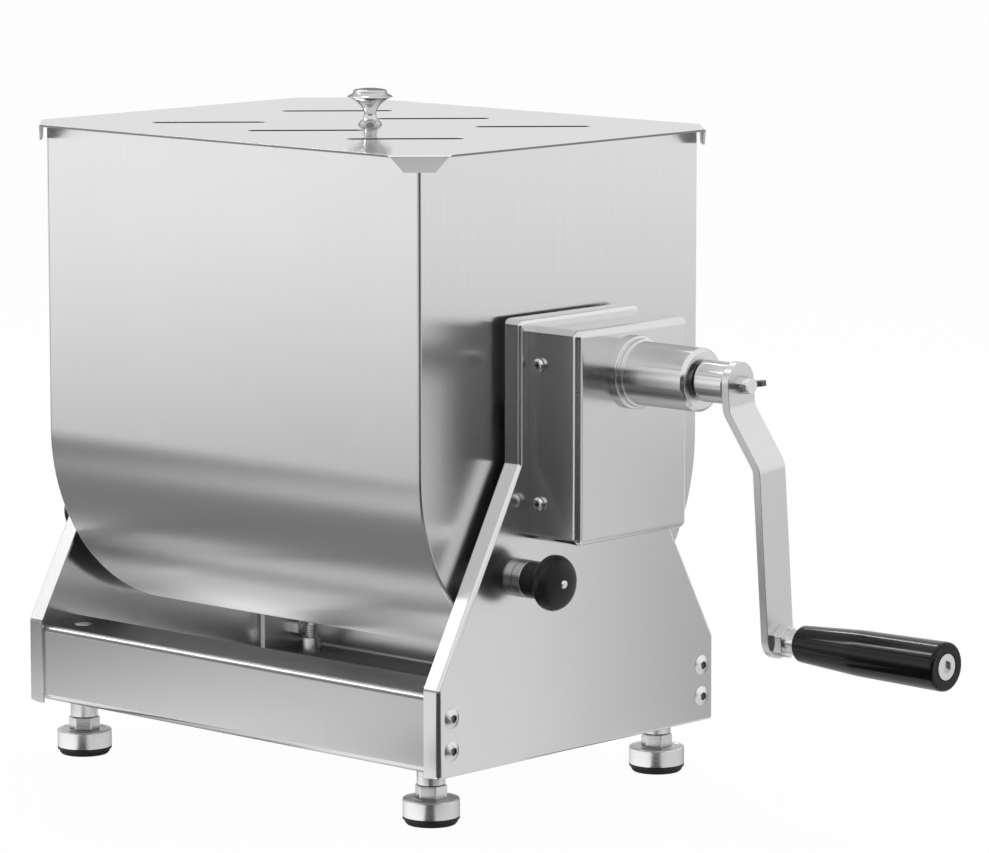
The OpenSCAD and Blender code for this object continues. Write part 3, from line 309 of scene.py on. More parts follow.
def lay_grain(bm, across):
    """UV map whose U direction runs across the grain; across(point, normal) gives that direction."""
    layer = bm.loops.layers.uv.new("grain")
    for face in bm.faces:
        normal = face.normal
        u = Vector(across(face.calc_center_median(), normal))
        u = u - normal * u.dot(normal)
        if u.length < LEAST_RUN:
            u = normal.orthogonal()
        u.normalize()
        v = normal.cross(u)
        for loop in face.loops:
            loop[layer].uv = (loop.vert.co.dot(u), loop.vert.co.dot(v))


def along_x(point, normal):
    return X_AXIS


def along_y(point, normal):
    return Y_AXIS


def along_z(point, normal):
    return Z_AXIS


def level(point, normal):
    """Level direction in a wall, or X where the face lies flat."""
    if abs(normal.z) > FLAT_SLOPE:
        return X_AXIS
    return (-normal.y, normal.x, 0.0)


def away_from(y, z):
    """Direction away from an axis along X."""
    def run(point, normal):
        return (0.0, point.y - y, point.z - z)
    return run


def piece(node, bm, materials, across=along_x):
    """Show a bmesh instead of a CAD node, on the node's body."""
    name = "look_" + node
    bm.normal_update()
    lay_grain(bm, across)
    mesh = bpy.data.meshes.new(name)
    bm.to_mesh(mesh)
    bm.free()
    for material in materials:
        mesh.materials.append(material)
    for polygon in mesh.polygons:
        polygon.use_smooth = True
    mesh.set_sharp_from_angle(angle=SMOOTH_ANGLE)
    obj = add_object(name, mesh)
    normals = obj.modifiers.new("even_normals", "WEIGHTED_NORMAL")
    normals.keep_sharp = True
    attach(obj, body_of[node])
    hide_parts(node)
    return obj


def solid_of(node):
    """A clean copy of a CAD node's mesh, with flat faces joined."""
    bm = bmesh.new()
    bm.from_mesh(nodes[node].data)
    for layer in list(bm.loops.layers.uv.values()):
        bm.loops.layers.uv.remove(layer)
    bmesh.ops.remove_doubles(bm, verts=bm.verts, dist=CAD_POINT)
    bmesh.ops.dissolve_limit(bm, angle_limit=FLAT_ANGLE, verts=bm.verts, edges=bm.edges)
    bm.normal_update()
    return bm


def sharp_edges(bm):
    """Edges at which two faces meet at a marked angle."""
    return [e for e in bm.edges if len(e.link_faces) == 2 and e.calc_face_angle(0.0) > SHARP_ANGLE]


def soften(bm, edges, width, segments):
    """Round edges over a width on each side."""
    bmesh.ops.bevel(bm, geom=edges, offset=width, offset_type="OFFSET", segments=segments,
                    profile=0.5, affect="EDGES", clamp_overlap=True)
    bm.normal_update()


def dressed(node, material, width, segments, across=along_x, first=None, more=(), paint=None):
    """Show a copy of a CAD node with its edges eased.

    first(bm) may round some edges further, and paint(bm) gives faces one of the further materials.
    """
    bm = solid_of(node)
    if first:
        first(bm)
    soften(bm, sharp_edges(bm), width, segments)
    if paint:
        paint(bm)
    piece(node, bm, [material, *more], across)


def islands(bm):
    """Groups of faces that hang together."""
    left = set(bm.faces)
    while left:
        front = [left.pop()]
        group = list(front)
        while front:
            face = front.pop()
            for other in {f for e in face.edges for f in e.link_faces}:
                if other in left:
                    left.remove(other)
                    group.append(other)
                    front.append(other)
        yield group


# Where a screw head's recess and rim lie, which take painted shade: depths as shares of the head's height,
# slopes of face normals
RECESS_DEPTH = 2.0
RECESS_FLOOR = 0.35
RECESS_SLOPE = 0.6
RIM_DEPTH = 1.1
RIM_SLOPE = 0.4


def head_painted_shade(k, drive, rim, height):
    """Painted shade in the drive recess and on the rim of screw heads that face outwards along X (k 0) or Y
    (k 1).
    """
    p, q = (1, 2) if k == 0 else (0, 2)

    def paint(bm):
        for group in islands(bm):
            points = [v.co for f in group for v in f.verts]
            middle = [(min(c[i] for c in points) + max(c[i] for c in points)) / 2 for i in range(3)]
            out = 1.0 if middle[k] > 0.0 else -1.0
            top = max(out * c[k] for c in points)
            for face in group:
                place = face.calc_center_median()
                depth = top - out * place[k]
                off = math.hypot(place[p] - middle[p], place[q] - middle[q])
                slope = abs(face.normal[k])
                inside = slope < RECESS_SLOPE or depth > RECESS_FLOOR * height
                in_drive = off < drive and depth < RECESS_DEPTH * height and inside
                on_rim = off > rim and depth < RIM_DEPTH * height and slope < RIM_SLOPE
                # Painted shade: the recess and the rim take the dark material
                if in_drive or on_rim:
                    face.material_index = 1

    return paint


def basis(axis):
    """Unit vector along an axis and two across it."""
    a = Vector(axis).normalized()
    u = a.orthogonal().normalized()
    return a, u, a.cross(u)


# A corner that turns less than STRAIGHT, in radians, stays; a fillet takes up to FILLET_SHARE of a line
STRAIGHT = 0.02
FILLET_SHARE = 0.49


def rounded(points, steps=5):
    """Points of a polyline, given as (x, y, fillet), with each corner rounded by its fillet."""
    out = []
    for i, (x, y, fillet) in enumerate(points):
        here = Vector((x, y))
        if fillet <= 0.0 or i == 0 or i == len(points) - 1:
            out.append(here)
            continue
        before = Vector(points[i - 1][:2]) - here
        after = Vector(points[i + 1][:2]) - here
        turn = math.pi - before.angle(after)
        if turn < STRAIGHT:
            out.append(here)
            continue
        reach = fillet * math.tan(turn / 2.0)
        reach = min(reach, FILLET_SHARE * before.length, FILLET_SHARE * after.length)
        start = here + before.normalized() * reach
        end = here + after.normalized() * reach
        for k in range(steps + 1):
            t = k / steps
            out.append((1 - t) ** 2 * start + 2 * t * (1 - t) * here + t ** 2 * end)
    return out


def smooth_line(points, steps=5):
    """Smooth curve through points."""
    out = []
    last = len(points) - 1
    for i in range(last):
        p0 = Vector(points[max(0, i - 1)])
        p1 = Vector(points[i])
        p2 = Vector(points[i + 1])
        p3 = Vector(points[min(last, i + 2)])
        for k in range(steps):
            t = k / steps
            out.append(0.5 * (2 * p1 + (p2 - p0) * t + (2 * p0 - 5 * p1 + 4 * p2 - p3) * t ** 2
                              + (3 * p1 - p0 - 3 * p2 + p3) * t ** 3))
    out.append(Vector(points[last]))
    return out


def scaled(points):
    """Points in millimetres, as metres."""
    return [tuple(c * MM for c in p) for p in points]


ON_AXIS = 1e-7
STUD_ROUND = 32
FOOT_ROUND = 80
ROUND = 96
BOSS_ROUND = 128
KNURL_ROUND = 144


def lathe(bm, line, origin, axis, segments, ribs=None):
    """Turn a line of (radius, length) points about an axis. ribs(i, k) may scale a radius."""
    a, u, v = basis(axis)
    origin = Vector(origin)
    rings = []
    for i, p in enumerate(line):
        radius, length = p[0], p[1]
        if radius < ON_AXIS:
            rings.append([bm.verts.new(origin + a * length)])
            continue
        ring = []
        for k in range(segments):
            t = 2.0 * math.pi * k / segments
            r = radius * (ribs(i, k) if ribs else 1.0)
            ring.append(bm.verts.new(origin + a * length + (u * math.cos(t) + v * math.sin(t)) * r))
        rings.append(ring)
    for low, high in zip(rings, rings[1:]):
        for k in range(segments):
            n = (k + 1) % segments
            if len(low) == 1:
                bm.faces.new((low[0], high[n], high[k]))
            elif len(high) == 1:
                bm.faces.new((low[k], low[n], high[0]))
            else:
                bm.faces.new((low[k], low[n], high[n], high[k]))


def turned(node, line, origin, axis, segments, material, across, ribs=None):
    """Turned piece that stands for a CAD node."""
    bm = bmesh.new()
    lathe(bm, line, origin, axis, segments, ribs)
    bmesh.ops.remove_doubles(bm, verts=bm.verts, dist=SAME_POINT)
    bmesh.ops.recalc_face_normals(bm, faces=bm.faces)
    piece(node, bm, [material], across)


THREAD_DEPTH = 0.54
THREAD_SEGMENTS = 28
CREST_HALF = 0.12
CREST_EASE = 0.06 * MM


def thread(bm, diameter, pitch, origin, axis, start, end):
    """Screw thread as one helical strip, with its depth and crest given as shares of the pitch."""
    a, u, v = basis(axis)
    origin = Vector(origin)
    crest = diameter / 2
    root = crest - pitch * THREAD_DEPTH
    form = ((-0.5, root), (-CREST_HALF, crest - CREST_EASE), (0.0, crest), (CREST_HALF, crest - CREST_EASE))
    steps = int((end - start) / pitch * THREAD_SEGMENTS)
    rows = []
    for i in range(steps + 1):
        t = 2.0 * math.pi * i / THREAD_SEGMENTS
        ray = u * math.cos(t) + v * math.sin(t)
        base = start + pitch * i / THREAD_SEGMENTS
        rows.append([bm.verts.new(origin + a * (base + pitch * share) + ray * r) for share, r in form])
    for i in range(steps):
        for k in range(len(form) - 1):
            bm.faces.new((rows[i][k], rows[i + 1][k], rows[i + 1][k + 1], rows[i][k + 1]))
    for i in range(steps - THREAD_SEGMENTS):
        j = i + THREAD_SEGMENTS
        bm.faces.new((rows[i][-1], rows[i + 1][-1], rows[j + 1][0], rows[j][0]))


# Side frames, each a folded sheet with a flange round its front, top and rear edges

SHEET = 2.0 * MM
FOLD = 3.0 * MM
TURN_STEPS = 5
KNEE_Z = 95.3 * MM
KNEE_BEND = 6.0 * MM
NECK_Z = 235.8 * MM
NECK_HALF = 59.5 * MM
NECK_BEND = 4.0 * MM
TOP_BEND = 5.0 * MM
LEAST_BEND = 0.5 * MM
SHEET_EASE = 0.3 * MM
END_ROUND = 1.8 * MM


def shifted_corners(points, inset):
    """Corners of an open polyline moved inwards (to the right of its run) by inset."""
    lines = []
    for a, b in zip(points, points[1:]):
        run = (b - a).normalized()
        side = Vector((run.y, -run.x))
        lines.append((a + side * inset, run))
    out = [Vector((lines[0][0].x, points[0].y))]
    for (p, d), (q, e) in zip(lines, lines[1:]):
        cross = d.x * e.y - d.y * e.x
        t = ((q - p).x * e.y - (q - p).y * e.x) / cross
        out.append(p + d * t)
    out.append(Vector((lines[-1][0].x, points[-1].y)))
    return out


def frame_loop(inset, low, high):
    """Outline of a side frame as (y, z) points from its front foot over its top to its rear foot."""
    half = high.y
    corners = [Vector(p) for p in ((-half, low.z), (-half, KNEE_Z), (-NECK_HALF, NECK_Z),
                                   (-NECK_HALF, high.z), (NECK_HALF, high.z), (NECK_HALF, NECK_Z),
                                   (half, KNEE_Z), (half, low.z))]
    bends = [0.0, KNEE_BEND, -NECK_BEND, TOP_BEND, TOP_BEND, -NECK_BEND, KNEE_BEND, 0.0]
    points = []
    for p, bend in zip(shifted_corners(corners, inset), bends):
        if bend > 0.0:
            fillet = max(LEAST_BEND, bend - inset)
        elif bend < 0.0:
            fillet = inset - bend
        else:
            fillet = 0.0
        points.append((p.x, p.y, fillet))
    return rounded(points, TURN_STEPS)


def side_frame(node, side):
    """Sweep the section of the folded edge, given as (x, inset), round the outline.

    side is 1 for the right frame and -1 for the left one, which mirrors it.
    """
    low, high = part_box("right_side_frame")
    hub = high.x - FOLD
    inner = FOLD - SHEET
    section = []
    for k in range(TURN_STEPS + 1):
        t = math.radians(90.0 * (1 - k / TURN_STEPS))
        section.append((hub + FOLD * math.sin(t), FOLD - FOLD * math.cos(t)))
    section += [(low.x + SHEET_EASE, 0.0), (low.x, SHEET_EASE), (low.x, SHEET - SHEET_EASE),
                (low.x + SHEET_EASE, SHEET)]
    for k in range(TURN_STEPS + 1):
        t = math.radians(90.0 * k / TURN_STEPS)
        section.append((hub + inner * math.sin(t), FOLD - inner * math.cos(t)))
    bm = bmesh.new()
    loops = []
    for x, inset in section:
        loops.append([bm.verts.new((side * x, p.x, p.y)) for p in frame_loop(inset, low, high)])
    for a, b in zip(loops, loops[1:]):
        for i in range(len(a) - 1):
            bm.faces.new((a[i], a[i + 1], b[i + 1], b[i]))
    bm.faces.new(loops[0])
    bm.faces.new(loops[-1])
    bm.faces.new([loop[0] for loop in loops] + [loop[-1] for loop in reversed(loops)])
    bmesh.ops.recalc_face_normals(bm, faces=bm.faces)
    ends = {v for loop in loops[:TURN_STEPS + 1] for v in (loop[0], loop[-1])}
    soften(bm, [e for e in bm.edges if e.verts[0] in ends and e.verts[1] in ends], END_ROUND, 4)
    piece(node, bm, [level_steel], along_z)


side_frame("right_side_frame", 1.0)
side_frame("left_side_frame", -1.0)


# Beams, folded channels

BEAM_RUN = 300.0 * MM
BEAM_FOLD_OUT = 4.8 * MM
BEAM_FOLD_IN = 2.8 * MM


def beam_folds(node):
    """Round the long folds of a beam, outside and inside."""
    low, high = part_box(node)
    web = low.y if abs(low.y) > abs(high.y) else high.y

    def fold(bm):
        outer = []
        inner = []
        for e in sharp_edges(bm):
            a, b = e.verts[0].co, e.verts[1].co
            if abs(b.x - a.x) < BEAM_RUN:
                continue
            mid = (a + b) / 2
            depth = abs(mid.y - web)
            on_flange = min(abs(mid.z - low.z), abs(mid.z - high.z)) < NEAR
            if depth < NEAR and on_flange:
                outer.append(e)
            elif abs(depth - SHEET) < NEAR:
                inner.append(e)
        soften(bm, outer, BEAM_FOLD_OUT, 10)
        soften(bm, [e for e in inner if e.is_valid], BEAM_FOLD_IN, 6)

    return fold


for name in ("front_beam", "rear_beam"):
    dressed(name, upright_steel, 0.25 * MM, 2, level, beam_folds(name))


# Tank

AXIS_Y, AXIS_Z = centre_of("paddle_shaft")[1:]
HUB_AREA = 100.0 * MM
RIM_ROUND = 1.8 * MM


def rim_round(bm):
    """Round the outer edge of a tank end plate where it meets the wrap, but not its top or its hub."""
    outer = max(abs(v.co.x) for v in bm.verts)
    top = max(v.co.z for v in bm.verts)
    edges = []
    for e in sharp_edges(bm):
        a, b = e.verts[0].co, e.verts[1].co
        mid = (a + b) / 2
        on_face = abs(abs(a.x) - outer) < NEAR and abs(abs(b.x) - outer) < NEAR
        on_top = min(a.z, b.z) > top - ROUGHLY
        on_hub = math.hypot(mid.y - AXIS_Y, mid.z - AXIS_Z) < HUB_AREA
        if on_face and not on_top and not on_hub:
            edges.append(e)
    soften(bm, edges, RIM_ROUND, 6)


dressed("tank_shell", wrap_steel, 0.4 * MM, 2)
dressed("tank_right_end", end_steel, 0.3 * MM, 2, level, rim_round)
dressed("tank_left_end", end_steel, 0.3 * MM, 2, level, rim_round)


# Lid

TAB_LEAST = 20.0 * MM
TAB_FOLD = 1.4 * MM
TAB_BELOW = 2.0 * MM
CORNER_X = 150.0 * MM
CORNER_Y = 100.0 * MM
LID_SIDE_X = 190.0 * MM
LID_SIDE_Y = 150.0 * MM
# Shares of face normals: upwards, and square to a side of the lid
HALF_UP = 0.5
SQUARE_ON = 0.97


def tab_folds(bm):
    """Round the folds between the lid and its corner tabs."""
    top = max(v.co.z for v in bm.verts)
    edges = []
    for e in sharp_edges(bm):
        a, b = e.verts[0].co, e.verts[1].co
        run = b - a
        mid = (a + b) / 2
        on_top = min(a.z, b.z) > top - NEAR
        diagonal = abs(abs(run.x) - abs(run.y)) < ROUGHLY and run.length > TAB_LEAST
        in_corner = abs(mid.x) > CORNER_X and abs(mid.y) > CORNER_Y
        if on_top and diagonal and in_corner:
            edges.append(e)
    soften(bm, edges, TAB_FOLD, 5)


def lid_finish(bm):
    """Matt underside and inner tab faces, in a lighter tone that is painted light, and painted shade on the
    cut edges along the straight sides for the shadowed gap under the lid's edge.
    """
    top = max(v.co.z for v in bm.verts)
    for face in bm.faces:
        normal = face.normal
        middle = face.calc_center_median()
        aside = abs(middle.y - AXIS_Y)
        inward = normal.x * middle.x + normal.y * (middle.y - AXIS_Y) < 0.0
        square = max(abs(normal.x), abs(normal.y)) > SQUARE_ON
        if normal.z < -HALF_UP or (inward and middle.z < top - TAB_BELOW):
            # Underside and inner tab faces: matt, with a lighter tone that is painted light
            face.material_index = 1
        elif abs(normal.z) < HALF_UP and square and (abs(middle.x) > LID_SIDE_X or aside > LID_SIDE_Y):
            # Painted shade on the cut edges along the straight sides
            face.material_index = 2


dressed("lid_plate", lid_steel, 0.3 * MM, 2, along_x, tab_folds, (lid_back, painted_edge_shade), lid_finish)

KNOB_FOOT = [(0.0, 0.0), (7.8, 0.0), (8.0, 0.2)]
KNOB_NECK = [(8.0, 0.9), (7.1, 1.8), (5.5, 3.2), (4.5, 5.0), (4.15, 7.0), (4.5, 9.3), (5.8, 11.9),
             (8.2, 14.8), (11.5, 17.3), (14.5, 18.6)]
KNOB_CAP = [(15.5, 19.0), (15.3, 19.5), (13.9, 20.2), (12.6, 20.9), (11.7, 21.6), (11.4, 22.1)]
KNOB_TOP = [(11.5, 22.4), (11.55, 22.9), (11.2, 23.5), (10.3, 23.95), (8.0, 24.4), (5.0, 24.75),
            (2.5, 24.93), (0.0, 25.0)]
line = scaled(KNOB_FOOT)
for part in (KNOB_NECK, KNOB_CAP, KNOB_TOP):
    line += smooth_line(scaled(part))
start = (0.0, AXIS_Y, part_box("lid_knob")[0].z)
turned("lid_knob", line, start, Z_AXIS, ROUND, chrome, along_z)


# Gearbox, boss and crank

dressed("gearbox_cover", satin_steel, 0.3 * MM, 2, level)
dressed("gearbox_screws", bright_steel, 0.3 * MM, 2, more=(recess_painted_shade,),
        paint=head_painted_shade(1, drive=2.1 * MM, rim=2.4 * MM, height=2.2 * MM))

BOSS_LINE = [(11.1, 0, 0), (24.3, 0, 0), (24.3, 4.5, 1.2), (22.5, 4.5, 0.6), (22.5, 8.2, 1.2),
             (21.0, 8.2, 0.6), (21.0, 57.5, 1.6), (19.0, 59.5, 1.0), (11.6, 59.5, 0.4), (11.1, 59.0, 0),
             (11.1, 0, 0)]
CRANK_Z = centre_of("crank_boss")[2]
start = (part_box("crank_boss")[0].x, AXIS_Y, CRANK_Z)
turned("crank_boss", rounded(scaled(BOSS_LINE)), start, X_AXIS, BOSS_ROUND, turned_steel, along_x)

WING_HUB = 6.1 * MM


def wing_finish(bm):
    """Darker wings outside the hub."""
    for face in bm.faces:
        middle = face.calc_center_median()
        if math.hypot(middle.y - AXIS_Y, middle.z - CRANK_Z) > WING_HUB:
            face.material_index = 1


dressed("crank_socket", turned_steel, 0.5 * MM, 3)
dressed("crank_arm", arm_steel, 0.4 * MM, 3, along_y)
dressed("wing_screw", bright_steel, 0.6 * MM, 3, more=(wing_steel,), paint=wing_finish)
dressed("grip_nut", bright_steel, 0.6 * MM, 3)
dressed("grip_spindle", turned_steel, 0.4 * MM, 3)

GRIP_LINE = [(6.05, 0.0, 0), (11.2, 0.0, 0.9), (12.1, 1.5, 1.2), (14.95, 48.4, 150.0), (16.0, 115.6, 3.0),
             (15.7, 117.2, 1.2), (14.6, 118.0, 0.9), (9.6, 118.0, 0.4), (9.0, 117.4, 0.3),
             (9.0, 113.6, 0), (6.05, 113.6, 0), (6.05, 0.0, 0)]
start = (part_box("grip")[0].x, *centre_of("grip")[1:])
turned("grip", rounded(scaled(GRIP_LINE), 6), start, X_AXIS, ROUND, black_plastic, along_x)


# Lock plungers

KNOB_SKIRT = [(4.05, 0.0, 0), (12.2, 0.0, 0.4), (12.5, 0.4, 0.2), (12.5, 10.4, 1.5), (14.4, 13.6, 2.5),
              (17.7, 16.2, 0.8), (18.5, 17.6, 0.9), (18.5, 21.2, 1.6), (17.2, 23.8, 2.0)]
KNOB_FACE = [(17.2, 23.8), (15.9, 25.2), (13.0, 26.6), (9.0, 27.7), (5.0, 28.3), (1.6, 28.4)]
KNOB_BORE = [(1.6, 19.9), (4.05, 19.9), (4.05, 0.0)]
KNOB_LINE = rounded(scaled(KNOB_SKIRT))[:-1] + smooth_line(scaled(KNOB_FACE)) + scaled(KNOB_BORE)
KNURL_RADIUS = 17.6 * MM
KNURL_START = 16.5 * MM
KNURL_END = 21.4 * MM
KNURL_DEPTH = 0.008


def knurl(i, k):
    """Fine ribs round the rim of a plunger knob."""
    radius, length = KNOB_LINE[i][:2]
    on_rim = radius > KNURL_RADIUS and KNURL_START < length < KNURL_END
    return 1.0 - KNURL_DEPTH * (k % 2) if on_rim else 1.0


for name, side in (("right", 1.0), ("left", -1.0)):
    node = name + "_plunger_knob"
    low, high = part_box(node)
    start = low.x if side > 0 else high.x
    middle_y, middle_z = centre_of(node)[1:]
    turned(node, KNOB_LINE, (start, middle_y, middle_z), (side, 0.0, 0.0), KNURL_ROUND, knob_plastic,
           away_from(middle_y, middle_z), knurl)
    dressed(name + "_plunger_body", ring_steel, 0.6 * MM, 3)
    dressed(name + "_plunger_rivet", bright_steel, 0.2 * MM, 2)
    node = name + "_plunger_spring"
    low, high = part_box(node)
    spring = piece(node, solid_of(node), [gear_steel])
    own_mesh(spring)


# Feet

FEET = ("front_right", "front_left", "rear_right", "rear_left")
CUP = [(0.0, 5.0, 0), (18.5, 5.0, 0.3), (19.0, 5.5, 0.4), (19.0, 17.2, 1.5), (16.8, 17.4, 0.3),
       (15.9, 16.9, 0.6), (11.5, 17.0, 0.3), (10.6, 17.5, 0), (0.0, 17.5, 0)]
PAD = [(0.0, 0.0, 0), (16.2, 0.0, 0.6), (17.6, 1.6, 0.9), (17.6, 2.9, 0.4), (19.0, 3.6, 0.5),
       (19.0, 5.0, 0), (0.0, 5.0, 0)]
STUD = [(0.0, 26.0), (4.15, 26.0), (4.15, 61.8), (3.2, 63.2), (0.0, 63.2)]
STUD_SIZE = 10.0 * MM
STUD_PITCH = 1.5 * MM
THREAD_START = 27.5 * MM
THREAD_END = 61.5 * MM
HEX_RADIUS = 19.0 * MM / math.sqrt(3)
HEX_HEIGHT = 8.7 * MM
HEX_MIDDLE = 21.85 * MM
HEX_EASE = 0.7 * MM
HEX_TURN = {"front_left": math.radians(12.0)}

for foot in FEET:
    node = foot + "_foot"
    middle = (*centre_of(node)[:2], 0.0)
    bm = bmesh.new()
    lathe(bm, rounded(scaled(CUP)), middle, Z_AXIS, FOOT_ROUND)
    seat = Matrix.Translation(Vector(middle) + Vector((0.0, 0.0, HEX_MIDDLE)))
    seat = seat @ Matrix.Rotation(HEX_TURN.get(foot, 0.0), 4, "Z")
    flats = bmesh.ops.create_cone(bm, cap_ends=True, segments=6, radius1=HEX_RADIUS, radius2=HEX_RADIUS,
                                  depth=HEX_HEIGHT, matrix=seat)
    edges = {e for v in flats["verts"] for e in v.link_edges}
    soften(bm, list(edges), HEX_EASE, 3)
    lathe(bm, scaled(STUD), middle, Z_AXIS, STUD_ROUND)
    thread(bm, STUD_SIZE, STUD_PITCH, middle, Z_AXIS, THREAD_START, THREAD_END)
    bmesh.ops.recalc_face_normals(bm, faces=bm.faces)
    piece(node, bm, [turned_upright], along_z)
    turned(foot + "_pad", rounded(scaled(PAD)), middle, Z_AXIS, FOOT_ROUND, black_rubber, along_z)
dressed("foot_bushes", turned_upright, 0.4 * MM, 3, along_z)


# Fasteners and pieces that show little

dressed("beam_screws", head_steel, 0.3 * MM, 3, more=(recess_painted_shade,),
        paint=head_painted_shade(0, drive=2.95 * MM, rim=6.0 * MM, height=2.4 * MM))
for name in ("beam_nuts", "left_cap_screws", "plunger_nuts", "lid_knob_screw"):
    dressed(name, bright_steel, 0.3 * MM, 3)
dressed("left_bearing_cap", turned_steel, 0.6 * MM, 3)
dressed("mixing_paddles", satin_steel, 0.8 * MM, 3)

# CAD nodes that are shown as they are, with a material and eased edges
KEPT = {
    # The crank bushes take bronze darkened as painted shade
    "gearbox_plate": satin_steel, "crank_bushes": bronze_painted_shade, "right_pivot_bush": bronze,
    "left_pivot_bush": bronze, "right_trunnion": inner_steel, "left_trunnion": inner_steel,
    "lock_bosses": inner_steel, "shaft_seals": seal_plastic, "paddle_shaft": inner_steel,
    "driven_gear": gear_steel, "gear_key": gear_steel, "gear_ring": gear_steel,
    "crank_shaft": inner_steel, "drive_pinion": gear_steel, "pinion_pin": gear_steel,
    "crank_key": gear_steel, "right_plunger_pin": inner_steel, "left_plunger_pin": inner_steel,
}
KEPT_WELD = 0.005 * MM
KEPT_EASE = 0.2 * MM
for name, material in KEPT.items():
    obj = nodes[name]
    obj.data.materials.clear()
    obj.data.materials.append(material)
    for polygon in obj.data.polygons:
        polygon.material_index = 0
    joined = obj.modifiers.new("joined", "WELD")
    joined.merge_threshold = KEPT_WELD
    eased = obj.modifiers.new("eased", "BEVEL")
    eased.width = KEPT_EASE
    eased.segments = 2
    eased.limit_method = "ANGLE"
    eased.angle_limit = SHARP_ANGLE


# Camera

AZIMUTH = math.radians(42.586)
ELEVATION = math.radians(8.322)
FOCAL_PX = 5219.9
FRAME_W = 989.0
SENSOR = 36.0
CLIP_END = 50.0
DISTANCE = 3602.4 * MM
TARGET = Vector((0.0, 0.0, 230.0 * MM))
ASIDE = 87.85 * MM
ALOFT = 5.37 * MM
right = Vector((math.cos(AZIMUTH), math.sin(AZIMUTH), 0.0))
up = Vector((-math.sin(AZIMUTH) * math.sin(ELEVATION), math.cos(AZIMUTH) * math.sin(ELEVATION),
             math.cos(ELEVATION)))
back = Vector((math.sin(AZIMUTH) * math.cos(ELEVATION), -math.cos(AZIMUTH) * math.cos(ELEVATION),
               math.sin(ELEVATION)))
camera_data = bpy.data.cameras.new("camera")
camera_data.sensor_width = SENSOR
camera_data.lens = FOCAL_PX / FRAME_W * SENSOR
camera_data.clip_end = CLIP_END
camera = add_object("camera", camera_data)
place = TARGET + right * ASIDE + up * ALOFT + back * DISTANCE
camera.matrix_world = Matrix.Translation(place) @ Matrix((right, up, back)).transposed().to_4x4()
bpy.context.scene.camera = camera


# Studio: white all round, and cards that show in gloss alone and give the steel its bands of light and dark

def seen_directly(tree, direct, gloss):
    """Share of white for rays from the camera or through glass, and for rays from gloss; else 0."""
    path = tree.nodes.new("ShaderNodeLightPath")
    plain = combine(tree, "MAXIMUM", path.outputs["Is Camera Ray"], path.outputs["Is Transmission Ray"])
    return combine(tree, "MAXIMUM", combine(tree, "MULTIPLY", plain, direct),
                   combine(tree, "MULTIPLY", path.outputs["Is Glossy Ray"], gloss))


def mixed(tree, share, a, b):
    """Shader a, with a share of shader b."""
    node = tree.nodes.new("ShaderNodeMixShader")
    link(tree, share, node.inputs["Fac"])
    link(tree, a, node.inputs[1])
    link(tree, b, node.inputs[2])
    return node.outputs["Shader"]


def background(tree, strength):
    """White surroundings."""
    node = tree.nodes.new("ShaderNodeBackground")
    node.inputs["Color"].default_value = (1.0, 1.0, 1.0, 1.0)
    node.inputs["Strength"].default_value = strength
    return node.outputs["Background"]


def empty_material(name):
    """New material without shaders, its node tree and the input of its surface."""
    material = bpy.data.materials.new(name)
    material.use_nodes = True
    tree = material.node_tree
    tree.nodes.clear()
    output = tree.nodes.new("ShaderNodeOutputMaterial")
    return material, tree, output.inputs["Surface"]


SOFT_LIGHT = 0.35
world = bpy.data.worlds.new("studio")
world.use_nodes = True
bpy.context.scene.world = world
tree = world.node_tree
tree.nodes.clear()
output = tree.nodes.new("ShaderNodeOutputWorld")
shade = mixed(tree, seen_directly(tree, 1.0, 1.0), background(tree, SOFT_LIGHT), background(tree, 1.0))
link(tree, shade, output.inputs["Surface"])

FLOOR_HALF = 8.0
FLOOR_TONE = 0.82
FLOOR_DIRECT = 0.975
FLOOR_GLOSS = 0.25
mesh = bpy.data.meshes.new("floor")
mesh.from_pydata([(-FLOOR_HALF, -FLOOR_HALF, 0), (FLOOR_HALF, -FLOOR_HALF, 0), (FLOOR_HALF, FLOOR_HALF, 0),
                  (-FLOOR_HALF, FLOOR_HALF, 0)], [], [(0, 1, 2, 3)])
floor = add_object("floor", mesh)
material, tree, surface = empty_material("floor")
matte = tree.nodes.new("ShaderNodeBsdfDiffuse")
matte.inputs["Color"].default_value = (*even(FLOOR_TONE), 1.0)
glow = tree.nodes.new("ShaderNodeEmission")
glow.inputs["Strength"].default_value = 1.0
shade = mixed(tree, seen_directly(tree, FLOOR_DIRECT, FLOOR_GLOSS), matte.outputs["BSDF"],
              glow.outputs["Emission"])
link(tree, shade, surface)
mesh.materials.append(material)


def gloss_only(obj, ramp, axis):
    """Give a studio card its tone and show it in gloss alone.

    ramp holds pairs of (place, tone). The place is measured along an axis of the card, or out from its
    origin where axis is None.
    """
    material, tree, surface = empty_material(obj.name)
    tone = tree.nodes.new("ShaderNodeEmission")
    source = tree.nodes.new("ShaderNodeTexCoord")
    if axis:
        split = tree.nodes.new("ShaderNodeSeparateXYZ")
        link(tree, source.outputs["Object"], split.inputs["Vector"])
        place = split.outputs[axis]
    else:
        length = tree.nodes.new("ShaderNodeVectorMath")
        length.operation = "LENGTH"
        link(tree, source.outputs["Object"], length.inputs[0])
        place = length.outputs["Value"]
    strength = None
    for (a, tone_a), (b, tone_b) in zip(ramp, ramp[1:]):
        part = spread(tree, place, 0.0, tone_b - tone_a, a, b)
        strength = combine(tree, "ADD", strength, part) if strength else part
    link(tree, combine(tree, "ADD", strength, ramp[0][1]), tone.inputs["Strength"])
    link(tree, tone.outputs["Emission"], surface)
    obj.data.materials.append(material)
    obj.visible_camera = False
    obj.visible_diffuse = False
    obj.visible_transmission = False
    obj.visible_shadow = False


def flat(tone):
    """Ramp with the same tone everywhere."""
    return [(0.0, tone), (1.0, tone)]


CARD_STEPS = 24


